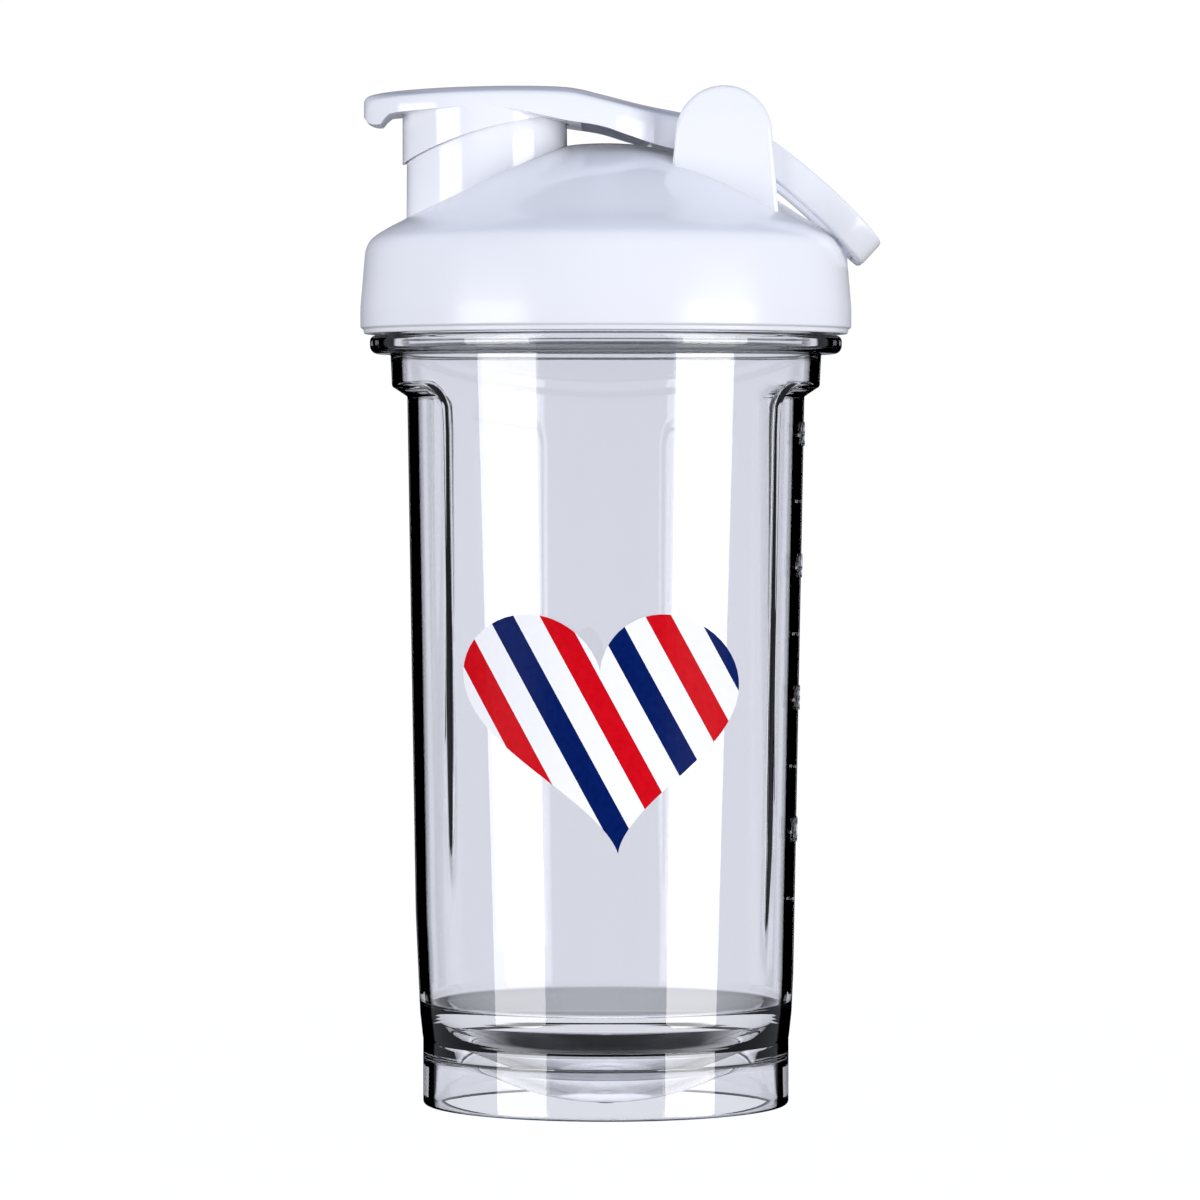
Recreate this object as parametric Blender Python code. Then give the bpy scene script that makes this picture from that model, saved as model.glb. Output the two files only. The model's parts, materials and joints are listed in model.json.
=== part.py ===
"""Protein shaker bottle: a clear cup, a screw lid with a spout, a flip cap and a hinged carry loop.

A standalone Blender 4.5 script. Lengths below are millimetres, and MM turns them into the scene's
metres. +Z is up and the origin is on the cup's axis, in the plane that the cup stands on. The spout
is on the lid's -X side and the hinge on its +X side, with the hinge's axis along Y.
"""

import math

import bmesh
import bpy
from mathutils import Matrix, Vector

MM = 0.001
WELD = 0.001

# Cup: outer wall, skirt and bowl
SKIRT_RADIUS = 37.5
SKIRT_INNER_RADIUS = 35.0
SKIRT_HOLLOW_Z, SKIRT_STEP_Z = 14.5, 13.2
BODY_FOOT_Z, BODY_FOOT_RADIUS = 20.5, 38.15
BODY_TOP_Z, BODY_TOP_RADIUS = 147.0, 43.8
WALL = 2.3
BOWL_OUTER_RADIUS, BOWL_OUTER_Z = 54.0, 0.8
BOWL_INNER_RADIUS, BOWL_INNER_Z = 48.2, 3.3
BOWL_FLAT_Z = 1.0
SHOULDER_Z = 153.2
BEAD_RADIUS, BEAD_ROUND, BEAD_MIDDLE_Z, BEAD_TOP_Z = 48.3, 1.8, 155.8, 157.4
NECK_RADIUS, MOUTH_RADIUS = 45.3, 42.6
RIM_Z = 174.5

# Cup: the two grips pressed into its sides
GRIP_TURN = math.radians(2.5)
GRIP_FLOOR_HALF, GRIP_EDGE_HALF = math.radians(35), math.radians(40)
GRIP_FOOT_Z, GRIP_FOOT_RADIUS = 33.0, 38.7
GRIP_TOP_Z, GRIP_TOP_RADIUS = 143.0, 40.6
GRIP_SHARE_OUTER = ((33.0, 1.0), (143.0, 1.0), (145.2, 0.88), (146.8, 0.55), (147.0, 0.0))
GRIP_SHARE_INNER = ((33.0, 1.0), (142.5, 1.0), (145.0, 0.8), (147.2, 0.3), (149.0, 0.0))
CUP_STEPS = 48

# Screw thread, two starts, right-handed
THREAD_LEAD = 9.0
THREAD_STARTS = 2
THREAD_WRAP = math.radians(204)
THREAD_STEP = math.radians(6)
THREAD_FOOT_Z = 162.0
THREAD_BASE_HALF, THREAD_CREST_HALF = 1.1, 0.5
CUP_CREST_RADIUS = 46.6
LID_CREST_RADIUS = 45.8
THREAD_FLANK_OFFSET = 1.8

# Lid
LID_STEPS = 60
LID_FOOT_Z = 157.7
COLLAR = ((49.4, LID_FOOT_Z), (50.0, 158.2), (50.3, 159.3), (50.25, 163.0), (49.9, 169.0), (49.3, 174.0))
DOME = ((49.3, 174.0), (48.7, 175.9), (47.4, 177.6), (40.7, 181.4), (29.4, 188.5), (24.1, 191.4),
        (12.5, 194.9), (7.8, 196.3), (0.0, 196.7))
COLLAR_BORE_RADIUS = 47.4
SEAT_Z, SEAT_RADIUS = 176.5, 46.9
LIP_OUTER_RADIUS, LIP_INNER_RADIUS, LIP_FOOT_Z = 41.9, 40.7, 168.0
DOME_WALL = 2.3
GASKET_INNER, GASKET_OUTER = 42.2, 46.6
GASKET_FOOT_Z, GASKET_TOP_Z = 174.8, 176.2

# Spout
SPOUT_X = -24.3
SPOUT_FOOT_RADIUS, SPOUT_TOP_RADIUS = 16.5, 16.3
SPOUT_TOP_Z = 203.6
BORE_RADIUS = 13.9
SPOUT_STEPS = 40

# Hinge
PIVOT_X, PIVOT_Z = 23.8, 197.8
EAR_RADIUS = 9.7
EAR_INNER_Y, EAR_OUTER_Y = 16.4, 19.6
EAR_FOOT = ((34.9, 181.0), (34.9, 177.0), (13.2, 177.0), (13.2, 190.0))
EAR_BEVEL = 0.7
PIN_RADIUS, PIN_HOLE_RADIUS = 1.5, 1.6
PIN_BLIND_Y, PIN_OPEN_Y = -18.4, 19.2

# Flip cap
NOSE_X = -49.5
ARM_HALF_WIDTH = 17.5
KNUCKLE_HALF_WIDTH = 13.1
KNUCKLE_RADIUS = 4.3
WAIST_START_X, WAIST_END_X = 0.0, 12.0
CROWN_RISE = 1.9
CROWN = ((-49.5, 205.3), (-48.5, 206.3), (-45.8, 206.95), (-41.0, 207.5), (-32.0, 208.05), (-20.0, 208.35),
         (-10.0, 208.2), (-5.5, 207.7), (-1.0, 206.6), (6.6, 204.7), (14.5, 203.1), (20.5, 202.0))
ARM_FOOT = ((-49.5, 202.0), (-48.6, 200.8), (-47.2, 200.2), (-45.4, 200.4), (-44.6, 201.8), (-42.0, 202.5),
            (-28.5, 203.4), (-21.3, 203.2), (-14.8, 202.1), (-8.6, 200.7), (-1.2, 199.5), (4.2, 197.8),
            (12.4, 195.3), (20.5, 193.9))
ARM_SKIN = 2.0
POCKET_START_X, POCKET_END_X = -5.0, 18.4
SLEEVE_RADIUS, SLEEVE_BORE_RADIUS = 17.3, 16.75
SLEEVE_FRONT, SLEEVE_BACK = (-41.65, 192.3), (-8.9, 201.9)
SLEEVE_EDGE_RADIUS = 91.0
SLEEVE_ROOF_Z = 205.3
STUD_RADIUS, STUD_FOOT_Z = 3.0, 201.0

# Spout seal
SEAL_FLANGE_RADIUS = 15.9
SEAL_FLANGE_FOOT_Z, SEAL_FLANGE_TOP_Z = 203.9, 205.0
SEAL_PLUG_RADIUS, SEAL_PLUG_TIP_RADIUS = 13.2, 12.4
SEAL_PLUG_FOOT_Z = 200.0
SEAL_PLUG_WALL = 2.0
SEAL_HOLE_RADIUS = 3.3

# Carry loop, drawn flat: u runs away from the hinge, v along the hinge, w out of the loop's plane
LOOP_REST = math.radians(-42.4)
LOOP_LENGTH = 38.5
LOOP_OUTER_V, LOOP_BAND = 16.1, 2.7
LOOP_DEPTH = 6.3
LOOP_CORNER = 9.5
LOOP_ARCH_U, LOOP_ARCH_W, LOOP_ARCH_BEND = 23.3, 3.54, 0.00407
LOOP_EYE_RADIUS = 4.4


def clear_scene():
    for obj in list(bpy.data.objects):
        bpy.data.objects.remove(obj)


def material(name, colour, roughness, transmission=0.0, metallic=0.0):
    made = bpy.data.materials.new(name)
    made.use_nodes = True
    shader = made.node_tree.nodes["Principled BSDF"]
    shader.inputs["Base Color"].default_value = (*colour, 1.0)
    shader.inputs["Roughness"].default_value = roughness
    shader.inputs["Metallic"].default_value = metallic
    shader.inputs["Transmission Weight"].default_value = transmission
    return made


def ramp(value, table):
    """The value of a table of (place, value) pairs, straight between its rows and level past its ends."""
    if value <= table[0][0]:
        return table[0][1]
    for (low, first), (high, second) in zip(table, table[1:]):
        if value <= high:
            return first + (second - first) * (value - low) / (high - low)
    return table[-1][1]


def arc(centre, radius, start, end, pieces):
    """Points on a circle in the plane of the profile, from one angle to another, in degrees."""
    angles = (math.radians(start + (end - start) * step / pieces) for step in range(pieces + 1))
    return [(centre[0] + radius * math.cos(a), centre[1] + radius * math.sin(a)) for a in angles]


def place(name, mesh, finish, origin=(0.0, 0.0, 0.0), helper=False):
    """Makes an object of a mesh drawn in millimetres, with its own origin at a point of the model."""
    bmesh.ops.recalc_face_normals(mesh, faces=mesh.faces)
    bmesh.ops.translate(mesh, verts=mesh.verts, vec=-Vector(origin))
    bmesh.ops.scale(mesh, verts=mesh.verts, vec=(MM, MM, MM))
    data = bpy.data.meshes.new(name)
    mesh.to_mesh(data)
    mesh.free()
    obj = bpy.data.objects.new(name, data)
    obj.location = Vector(origin) * MM
    bpy.context.scene.collection.objects.link(obj)
    if finish:
        data.materials.append(finish)
        data.shade_smooth()
        data.set_sharp_from_angle(angle=math.radians(30))
    if helper:
        obj.hide_render = True
        obj.display_type = "WIRE"
    return obj


def helper(name, mesh):
    return place(name, mesh, None, helper=True)


def combine(obj, operation, *others):
    """Adds a Boolean for each of the other objects, in order."""
    for other in others:
        modifier = obj.modifiers.new(f"{operation.lower()} {other.name}", "BOOLEAN")
        modifier.operation = operation
        modifier.solver = "EXACT"
        modifier.object = other
    return obj


def turned(profile, steps, centre_x=0.0, closed=False, half_step=False):
    """The profile's (radius, height) points spun once round an upright axis.

    A half step turns a cutter's facets so that their edges don't run along those of the solid it cuts.
    """
    mesh = bmesh.new()
    line = [mesh.verts.new((radius, 0.0, height)) for radius, height in profile]
    pairs = list(zip(line, line[1:])) + ([(line[-1], line[0])] if closed else [])
    edges = [mesh.edges.new(pair) for pair in pairs]
    bmesh.ops.spin(mesh, geom=line + edges, cent=(0, 0, 0), axis=(0, 0, 1), dvec=(0, 0, 0), angle=math.tau,
                   steps=steps, use_merge=True)
    bmesh.ops.remove_doubles(mesh, verts=mesh.verts, dist=WELD)
    if half_step:
        turn = Matrix.Rotation(math.pi / steps, 3, "Z")
        bmesh.ops.rotate(mesh, verts=mesh.verts, cent=(0, 0, 0), matrix=turn)
    bmesh.ops.translate(mesh, verts=mesh.verts, vec=(centre_x, 0, 0))
    return mesh


def cross_bar(x, z, radius, y_low, y_high, steps):
    """A round bar along Y."""
    mesh = bmesh.new()
    turn = Matrix.Translation((x, (y_low + y_high) / 2, z)) @ Matrix.Rotation(math.pi / 2, 4, "X")
    bmesh.ops.create_cone(mesh, cap_ends=True, segments=steps, radius1=radius, radius2=radius,
                          depth=y_high - y_low, matrix=turn)
    return mesh


def slab(outline, y_low, y_high):
    """An outline of (x, z) points made solid between two places along Y."""
    mesh = bmesh.new()
    face = mesh.faces.new([mesh.verts.new((x, y_low, z)) for x, z in outline])
    sides = bmesh.ops.extrude_face_region(mesh, geom=[face])
    moved = [item for item in sides["geom"] if isinstance(item, bmesh.types.BMVert)]
    bmesh.ops.translate(mesh, verts=moved, vec=(0, y_high - y_low, 0))
    return mesh


# ---- cup


def body_radius(z):
    share = (z - BODY_FOOT_Z) / (BODY_TOP_Z - BODY_FOOT_Z)
    return BODY_FOOT_RADIUS + (BODY_TOP_RADIUS - BODY_FOOT_RADIUS) * share


def grip_depth(z):
    """How far the grip's floor lies inside the cup's own taper."""
    share = (z - GRIP_FOOT_Z) / (GRIP_TOP_Z - GRIP_FOOT_Z)
    return body_radius(z) - (GRIP_FOOT_RADIUS + (GRIP_TOP_RADIUS - GRIP_FOOT_RADIUS) * share)


def grip_window(angle):
    """1 on the floor of either grip and 0 outside them, by the angle round the cup."""
    off_centre = abs((angle - GRIP_TURN + math.pi / 2) % math.pi - math.pi / 2)
    return ramp(off_centre, ((GRIP_FLOOR_HALF, 1.0), (GRIP_EDGE_HALF, 0.0)))


def sphere_height(radius, foot_z, r):
    return foot_z + radius - math.sqrt(radius**2 - r**2)


def cup_underside():
    """From the centre of the bowl's underside out to the skirt's foot and up to the foot of the body."""
    flat = math.sqrt(2 * BOWL_OUTER_RADIUS * (BOWL_FLAT_Z - BOWL_OUTER_Z))
    bowl = [(r, sphere_height(BOWL_OUTER_RADIUS, BOWL_OUTER_Z, r)) for r in (12.0, 20.0, 28.0, 33.6)]
    skirt_top = SKIRT_INNER_RADIUS - 0.35
    return [
        (0.0, BOWL_FLAT_Z), (flat, BOWL_FLAT_Z), *bowl, (skirt_top - 0.4, SKIRT_HOLLOW_Z),
        (skirt_top, SKIRT_HOLLOW_Z - 0.5),
        (SKIRT_INNER_RADIUS, 0.4), (SKIRT_INNER_RADIUS + 0.4, 0.0), (SKIRT_RADIUS - 0.5, 0.0),
        (SKIRT_RADIUS, 0.6), (SKIRT_RADIUS + 0.05, SKIRT_STEP_Z), (SKIRT_RADIUS + 0.4, 16.0),
    ]


def cup_outside():
    body = [(body_radius(z), z) for z in (BODY_FOOT_Z, *(z for z, _ in GRIP_SHARE_OUTER))]
    bead = arc((BEAD_RADIUS - BEAD_ROUND, BEAD_MIDDLE_Z), BEAD_ROUND, -80, 60, 5)
    return [*body, (BODY_TOP_RADIUS + 0.05, SHOULDER_Z), (44.4, 153.7), *bead,
            (NECK_RADIUS + 0.1, BEAD_TOP_Z), (NECK_RADIUS, BEAD_TOP_Z + 0.3),
            (NECK_RADIUS, RIM_Z - 0.8), (NECK_RADIUS - 0.4, RIM_Z - 0.1)]


def cup_inside():
    """From the rim down the inner wall to the middle of the bowl."""
    wall = [(body_radius(z) - WALL, z) for z in (152.0, *(z for z, _ in reversed(GRIP_SHARE_INNER)))]
    bowl_edge = body_radius(21.0) - WALL
    bowl = [(r, sphere_height(BOWL_INNER_RADIUS, BOWL_INNER_Z, r)) for r in (bowl_edge, 31.0, 22.0, 11.0)]
    return [(NECK_RADIUS - 0.8, RIM_Z), (MOUTH_RADIUS + 0.5, RIM_Z), (MOUTH_RADIUS, RIM_Z - 0.6),
            *wall, *bowl, (0.0, BOWL_INNER_Z)]


def press_grips(mesh):
    for vert in mesh.verts:
        radius, z = math.hypot(vert.co.x, vert.co.y), vert.co.z
        if not GRIP_FOOT_Z < z < GRIP_SHARE_INNER[-1][0]:
            continue
        outer = radius > body_radius(z) - WALL / 2
        share = ramp(z, GRIP_SHARE_OUTER if outer else GRIP_SHARE_INNER)
        inset = grip_depth(min(z, GRIP_TOP_Z)) * share * grip_window(math.atan2(vert.co.y, vert.co.x))
        vert.co.xy *= (radius - inset) / radius


def thread_ridge(root, crest, foot_z, start):
    """One start of the thread, a trapezoid swept up its helix and tapered to nothing at both ends."""
    mesh = bmesh.new()
    bite = 0.5 if crest > root else -0.5
    count = round(THREAD_WRAP / THREAD_STEP)
    rings = []
    for step in range(count + 1):
        angle = start + step * THREAD_STEP
        z = foot_z + THREAD_LEAD * step * THREAD_STEP / math.tau
        height = min(1.0, 0.12 + step / 3, 0.12 + (count - step) / 3)
        tip = root + (crest - root) * height
        corners = ((root - bite, -THREAD_BASE_HALF), (root, -THREAD_BASE_HALF), (tip, -THREAD_CREST_HALF),
                   (tip, THREAD_CREST_HALF), (root, THREAD_BASE_HALF), (root - bite, THREAD_BASE_HALF))
        rings.append([mesh.verts.new((r * math.cos(angle), r * math.sin(angle), z + dz))
                      for r, dz in corners])
    for ring, above in zip(rings, rings[1:]):
        for side in range(len(ring)):
            after = (side + 1) % len(ring)
            mesh.faces.new((ring[side], ring[after], above[after], above[side]))
    mesh.faces.new(rings[0])
    mesh.faces.new(rings[-1])
    return mesh


def thread_ridges(name, root, crest, foot_z):
    starts = [math.tau * number / THREAD_STARTS for number in range(THREAD_STARTS)]
    return [helper(f"{name}_thread_{number}", thread_ridge(root, crest, foot_z, start))
            for number, start in enumerate(starts)]


def make_cup(finish):
    mesh = turned(cup_underside() + cup_outside() + cup_inside(), CUP_STEPS)
    bmesh.ops.rotate(mesh, verts=mesh.verts, cent=(0, 0, 0),
                     matrix=Matrix.Rotation(GRIP_TURN + math.tau / CUP_STEPS / 2, 3, "Z"))
    press_grips(mesh)
    cup = place("cup", mesh, finish)
    return combine(cup, "UNION", *thread_ridges("cup", NECK_RADIUS, CUP_CREST_RADIUS, THREAD_FOOT_Z))


# ---- lid


def dome_height(r):
    """Height of the dome's outer face at this distance from the axis."""
    return ramp(r, sorted(DOME))


def lid_cavity():
    """What the lid is hollowed by: the collar's bore, the gasket's seat and the space under the dome."""
    roof_radii = (LIP_INNER_RADIUS - 0.3, 35.0, 29.3, 22.0, 14.0, 7.0, 0.0)
    roof = [(r, dome_height(r) - DOME_WALL) for r in roof_radii]
    return [(0.0, LID_FOOT_Z - 5), (COLLAR_BORE_RADIUS + 0.6, LID_FOOT_Z - 5),
            (COLLAR_BORE_RADIUS + 0.6, LID_FOOT_Z + 0.4), (COLLAR_BORE_RADIUS, LID_FOOT_Z + 1.4),
            (COLLAR_BORE_RADIUS, 174.0), (SEAT_RADIUS, SEAT_Z), (LIP_OUTER_RADIUS, SEAT_Z),
            (LIP_OUTER_RADIUS - 0.2, LIP_FOOT_Z), (LIP_INNER_RADIUS, LIP_FOOT_Z), *roof]


def ear_outline():
    return arc((PIVOT_X, PIVOT_Z), EAR_RADIUS, 0, 180, 14) + list(reversed(EAR_FOOT))


def ear(name, side):
    """One of the two rounded ears that hold the hinge pin. Side is -1 or 1 along Y."""
    inner, outer = side * EAR_INNER_Y, side * EAR_OUTER_Y
    mesh = slab(ear_outline(), min(inner, outer), max(inner, outer))
    rim = [edge for edge in mesh.edges if all(abs(vert.co.y - outer) < WELD for vert in edge.verts)]
    bmesh.ops.bevel(mesh, geom=rim, offset=EAR_BEVEL, segments=2, profile=0.5, affect="EDGES")
    return helper(name, mesh)


def make_lid(finish):
    solid = turned([(0.0, LID_FOOT_Z), *COLLAR[:-1], *DOME], LID_STEPS)
    spout = [(0.0, 170.0), (SPOUT_FOOT_RADIUS, 170.0), (SPOUT_FOOT_RADIUS, 180.0),
             (SPOUT_TOP_RADIUS, SPOUT_TOP_Z - 0.8), (SPOUT_TOP_RADIUS - 0.7, SPOUT_TOP_Z), (0.0, SPOUT_TOP_Z)]
    bore = [(0.0, 160.0), (BORE_RADIUS, 160.0), (BORE_RADIUS, SPOUT_TOP_Z - 1.0),
            (BORE_RADIUS + 1.0, SPOUT_TOP_Z + 1.0), (0.0, SPOUT_TOP_Z + 1.0)]
    lid = place("lid", solid, finish)
    combine(lid, "UNION", helper("lid_spout", turned(spout, SPOUT_STEPS, SPOUT_X)), ear("ear_front", -1),
            ear("ear_back", 1))
    combine(lid, "DIFFERENCE", helper("lid_cavity", turned(lid_cavity(), LID_STEPS, half_step=True)),
            helper("lid_bore", turned(bore, SPOUT_STEPS, SPOUT_X, half_step=True)),
            helper("lid_pin_hole", cross_bar(PIVOT_X, PIVOT_Z, PIN_HOLE_RADIUS, PIN_BLIND_Y - 0.2, 24.0, 20)))
    return combine(lid, "UNION", *thread_ridges("lid", COLLAR_BORE_RADIUS, LID_CREST_RADIUS,
                                                THREAD_FOOT_Z - THREAD_FLANK_OFFSET))


def make_gasket(finish):
    ring = [(GASKET_INNER, GASKET_FOOT_Z), (GASKET_OUTER, GASKET_FOOT_Z), (GASKET_OUTER, GASKET_TOP_Z),
            (GASKET_INNER, GASKET_TOP_Z)]
    return place("lid_gasket", turned(ring, LID_STEPS, closed=True), finish)


# ---- flip cap


def arm_half_width(x):
    """Half the arm's width: a rounded nose, a full width over the spout and a waist at the hinge."""
    centre = -24.0
    if x < centre:
        return ARM_HALF_WIDTH * math.sqrt(max(0.0, 1 - ((x - centre) / (NOSE_X - centre)) ** 2))
    share = min(1.0, max(0.0, (x - WAIST_START_X) / (WAIST_END_X - WAIST_START_X)))
    return ARM_HALF_WIDTH + (KNUCKLE_HALF_WIDTH - ARM_HALF_WIDTH) * share**2 * (3 - 2 * share)


def arm_top(x, side):
    """Height of the arm's crowned top, where side runs from -1 at one edge to 1 at the other."""
    return ramp(x, CROWN) - CROWN_RISE * abs(side) ** 2.2


def arm_block(stations, inset, drop, foot):
    """A solid between the arm's top, lowered by drop and drawn in by inset, and the height foot(x)."""
    mesh = bmesh.new()
    across = 8
    rows = []
    for x in stations:
        half = arm_half_width(x) - inset
        sides = [-1 + 2 * number / across for number in range(across + 1)]
        above = [mesh.verts.new((x, half * side, arm_top(x, side) - drop)) for side in sides]
        below = [mesh.verts.new((x, half * side, foot(x))) for side in reversed(sides)]
        rows.append(above + below)
    for row, after in zip(rows, rows[1:]):
        for number in range(len(row)):
            beside = (number + 1) % len(row)
            mesh.faces.new((row[number], row[beside], after[beside], after[number]))
    for row in (rows[0], rows[-1]):
        for number in range(across):
            mesh.faces.new((row[number], row[number + 1], row[-2 - number], row[-1 - number]))
    return mesh


def sleeve_edge_centre():
    """Centre of the arc that trims the sleeve's lower edge, which bulges upwards between its two ends."""
    front, back = Vector(SLEEVE_FRONT), Vector(SLEEVE_BACK)
    chord = back - front
    drop = math.sqrt(SLEEVE_EDGE_RADIUS**2 - (chord.length / 2) ** 2)
    return (front + back) / 2 + Vector((chord.y, -chord.x)).normalized() * drop


def make_flip_cap(finish):
    stations = [-49.4, -49.0, -48.4, -47.2, -45.4, -44.6, -42.0, -37.0, -32.0, -26.0, -20.0, -14.8, -10.0,
                -5.5, -1.0, 2.0, 5.0, 8.0, 12.0, 16.0, 20.5]
    arm = arm_block(stations, 0.0, 0.0, lambda x: ramp(x, ARM_FOOT))
    cap = place("flip_cap", arm, finish, (PIVOT_X, 0.0, PIVOT_Z))
    inside = [x for x in stations if POCKET_START_X < x < POCKET_END_X]
    pocket = arm_block([POCKET_START_X, *inside, POCKET_END_X], ARM_SKIN, ARM_SKIN, lambda x: 185.0)
    sleeve = [(0.0, 188.0), (SLEEVE_RADIUS, 188.0), (SLEEVE_RADIUS, SLEEVE_ROOF_Z), (0.0, SLEEVE_ROOF_Z)]
    hollow = [(0.0, 187.0), (SLEEVE_BORE_RADIUS, 187.0), (SLEEVE_BORE_RADIUS, SLEEVE_ROOF_Z - 1.0),
              (SLEEVE_BORE_RADIUS - 0.6, SLEEVE_ROOF_Z), (0.0, SLEEVE_ROOF_Z)]
    stud = [(0.0, STUD_FOOT_Z), (STUD_RADIUS - 0.5, STUD_FOOT_Z), (STUD_RADIUS, STUD_FOOT_Z + 0.8),
            (STUD_RADIUS, SLEEVE_ROOF_Z + 1.0), (0.0, SLEEVE_ROOF_Z + 1.0)]
    edge_x, edge_z = sleeve_edge_centre()
    trim = combine(helper("cap_sleeve", turned(sleeve, SPOUT_STEPS, SPOUT_X)), "DIFFERENCE",
                   helper("cap_sleeve_trim", cross_bar(edge_x, edge_z, SLEEVE_EDGE_RADIUS, -30, 30, 240)))
    combine(cap, "DIFFERENCE", helper("cap_pocket", pocket))
    combine(cap, "UNION", trim)
    combine(cap, "DIFFERENCE", helper("cap_hollow", turned(hollow, SPOUT_STEPS, SPOUT_X, half_step=True)))
    combine(cap, "UNION", helper("cap_stud", turned(stud, 20, SPOUT_X)),
            helper("cap_knuckle", cross_bar(PIVOT_X, PIVOT_Z, KNUCKLE_RADIUS, -KNUCKLE_HALF_WIDTH + 0.05,
                                            KNUCKLE_HALF_WIDTH - 0.05, 28)))
    return combine(cap, "DIFFERENCE",
                   helper("cap_pin_hole", cross_bar(PIVOT_X, PIVOT_Z, PIN_HOLE_RADIUS, -20, 20, 20)))


def make_spout_seal(finish):
    """A soft flange on the spout's rim with a hollow plug that reaches into the bore."""
    inner = SEAL_PLUG_RADIUS - SEAL_PLUG_WALL
    ring = [(SEAL_HOLE_RADIUS, SEAL_FLANGE_FOOT_Z - 0.3), (inner - 0.4, SEAL_FLANGE_FOOT_Z - 0.3),
            (inner - 0.8, SEAL_PLUG_FOOT_Z), (SEAL_PLUG_TIP_RADIUS, SEAL_PLUG_FOOT_Z),
            (SEAL_PLUG_RADIUS, SEAL_PLUG_FOOT_Z + 1.6), (SEAL_PLUG_RADIUS, SEAL_FLANGE_FOOT_Z),
            (SEAL_FLANGE_RADIUS, SEAL_FLANGE_FOOT_Z), (SEAL_FLANGE_RADIUS, SEAL_FLANGE_TOP_Z),
            (SEAL_HOLE_RADIUS, SEAL_FLANGE_TOP_Z)]
    mesh = turned(ring, SPOUT_STEPS, SPOUT_X, closed=True)
    return place("spout_seal", mesh, finish, (PIVOT_X, 0.0, PIVOT_Z))


# ---- carry loop and pin


def loop_side(outer):
    """The U of the loop's outer or inner edge, as (u, v) points from one arm's end to the other's."""
    v = LOOP_OUTER_V if outer else LOOP_OUTER_V - LOOP_BAND
    end = LOOP_LENGTH if outer else LOOP_LENGTH - LOOP_BAND
    corner = LOOP_CORNER if outer else LOOP_CORNER - LOOP_BAND
    along = [1.0, 8.0, 15.0, 22.0]
    front = [(u, -v) for u in along] + arc((end - corner, corner - v), corner, -90, 0, 6)
    back = [(u, -y) for u, y in reversed(front)]
    return front + back


def make_carry_loop(finish):
    mesh = bmesh.new()
    low_w, high_w = -LOOP_DEPTH / 2, LOOP_DEPTH / 2

    def ring(points, w):
        arch = [w + LOOP_ARCH_W - LOOP_ARCH_BEND * (u - LOOP_ARCH_U) ** 2 for u, _ in points]
        return [mesh.verts.new((u, v, height)) for (u, v), height in zip(points, arch)]

    edges = [ring(loop_side(True), low_w), ring(loop_side(True), high_w),
             ring(loop_side(False), high_w), ring(loop_side(False), low_w)]
    for line, beside in zip(edges, edges[1:] + edges[:1]):
        for a, b, c, d in zip(line, line[1:], beside[1:], beside):
            mesh.faces.new((a, b, c, d))
    mesh.faces.new([line[0] for line in edges])
    mesh.faces.new([line[-1] for line in edges])
    # u, v, w become x, y, z at rest, turned down about the hinge
    turn = Matrix.Translation((PIVOT_X, 0, PIVOT_Z)) @ Matrix.Rotation(-LOOP_REST, 4, "Y")
    bmesh.ops.transform(mesh, verts=mesh.verts, matrix=turn)
    loop = place("carry_loop", mesh, finish, (PIVOT_X, 0.0, PIVOT_Z))
    inner_v = LOOP_OUTER_V - LOOP_BAND
    for name, low, high in (("front", -LOOP_OUTER_V, -inner_v), ("back", inner_v, LOOP_OUTER_V)):
        eye = cross_bar(PIVOT_X, PIVOT_Z, LOOP_EYE_RADIUS, low + 0.02, high - 0.02, 28)
        combine(loop, "UNION", helper(f"loop_eye_{name}", eye))
    return combine(loop, "DIFFERENCE",
                   helper("loop_pin_hole", cross_bar(PIVOT_X, PIVOT_Z, PIN_HOLE_RADIUS, -22, 22, 20)))


def make_hinge_pin(finish):
    return place("hinge_pin", cross_bar(PIVOT_X, PIVOT_Z, PIN_RADIUS, PIN_BLIND_Y, PIN_OPEN_Y, 20), finish,
                 (PIVOT_X, 0.0, PIVOT_Z))


def main():
    clear_scene()
    clear = material("clear_plastic", (0.93, 0.94, 0.97), 0.03, transmission=1.0)
    white = material("white_plastic", (0.86, 0.87, 0.90), 0.25)
    silicone = material("silicone", (0.80, 0.81, 0.83), 0.55)
    steel = material("steel", (0.62, 0.62, 0.63), 0.25, metallic=1.0)
    make_cup(clear)
    make_lid(white)
    make_gasket(silicone)
    make_flip_cap(white)
    make_spout_seal(silicone)
    make_carry_loop(white)
    make_hinge_pin(steel)


main()
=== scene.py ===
import json
import math

import bmesh
import bpy
from mathutils import Matrix, Vector

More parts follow.
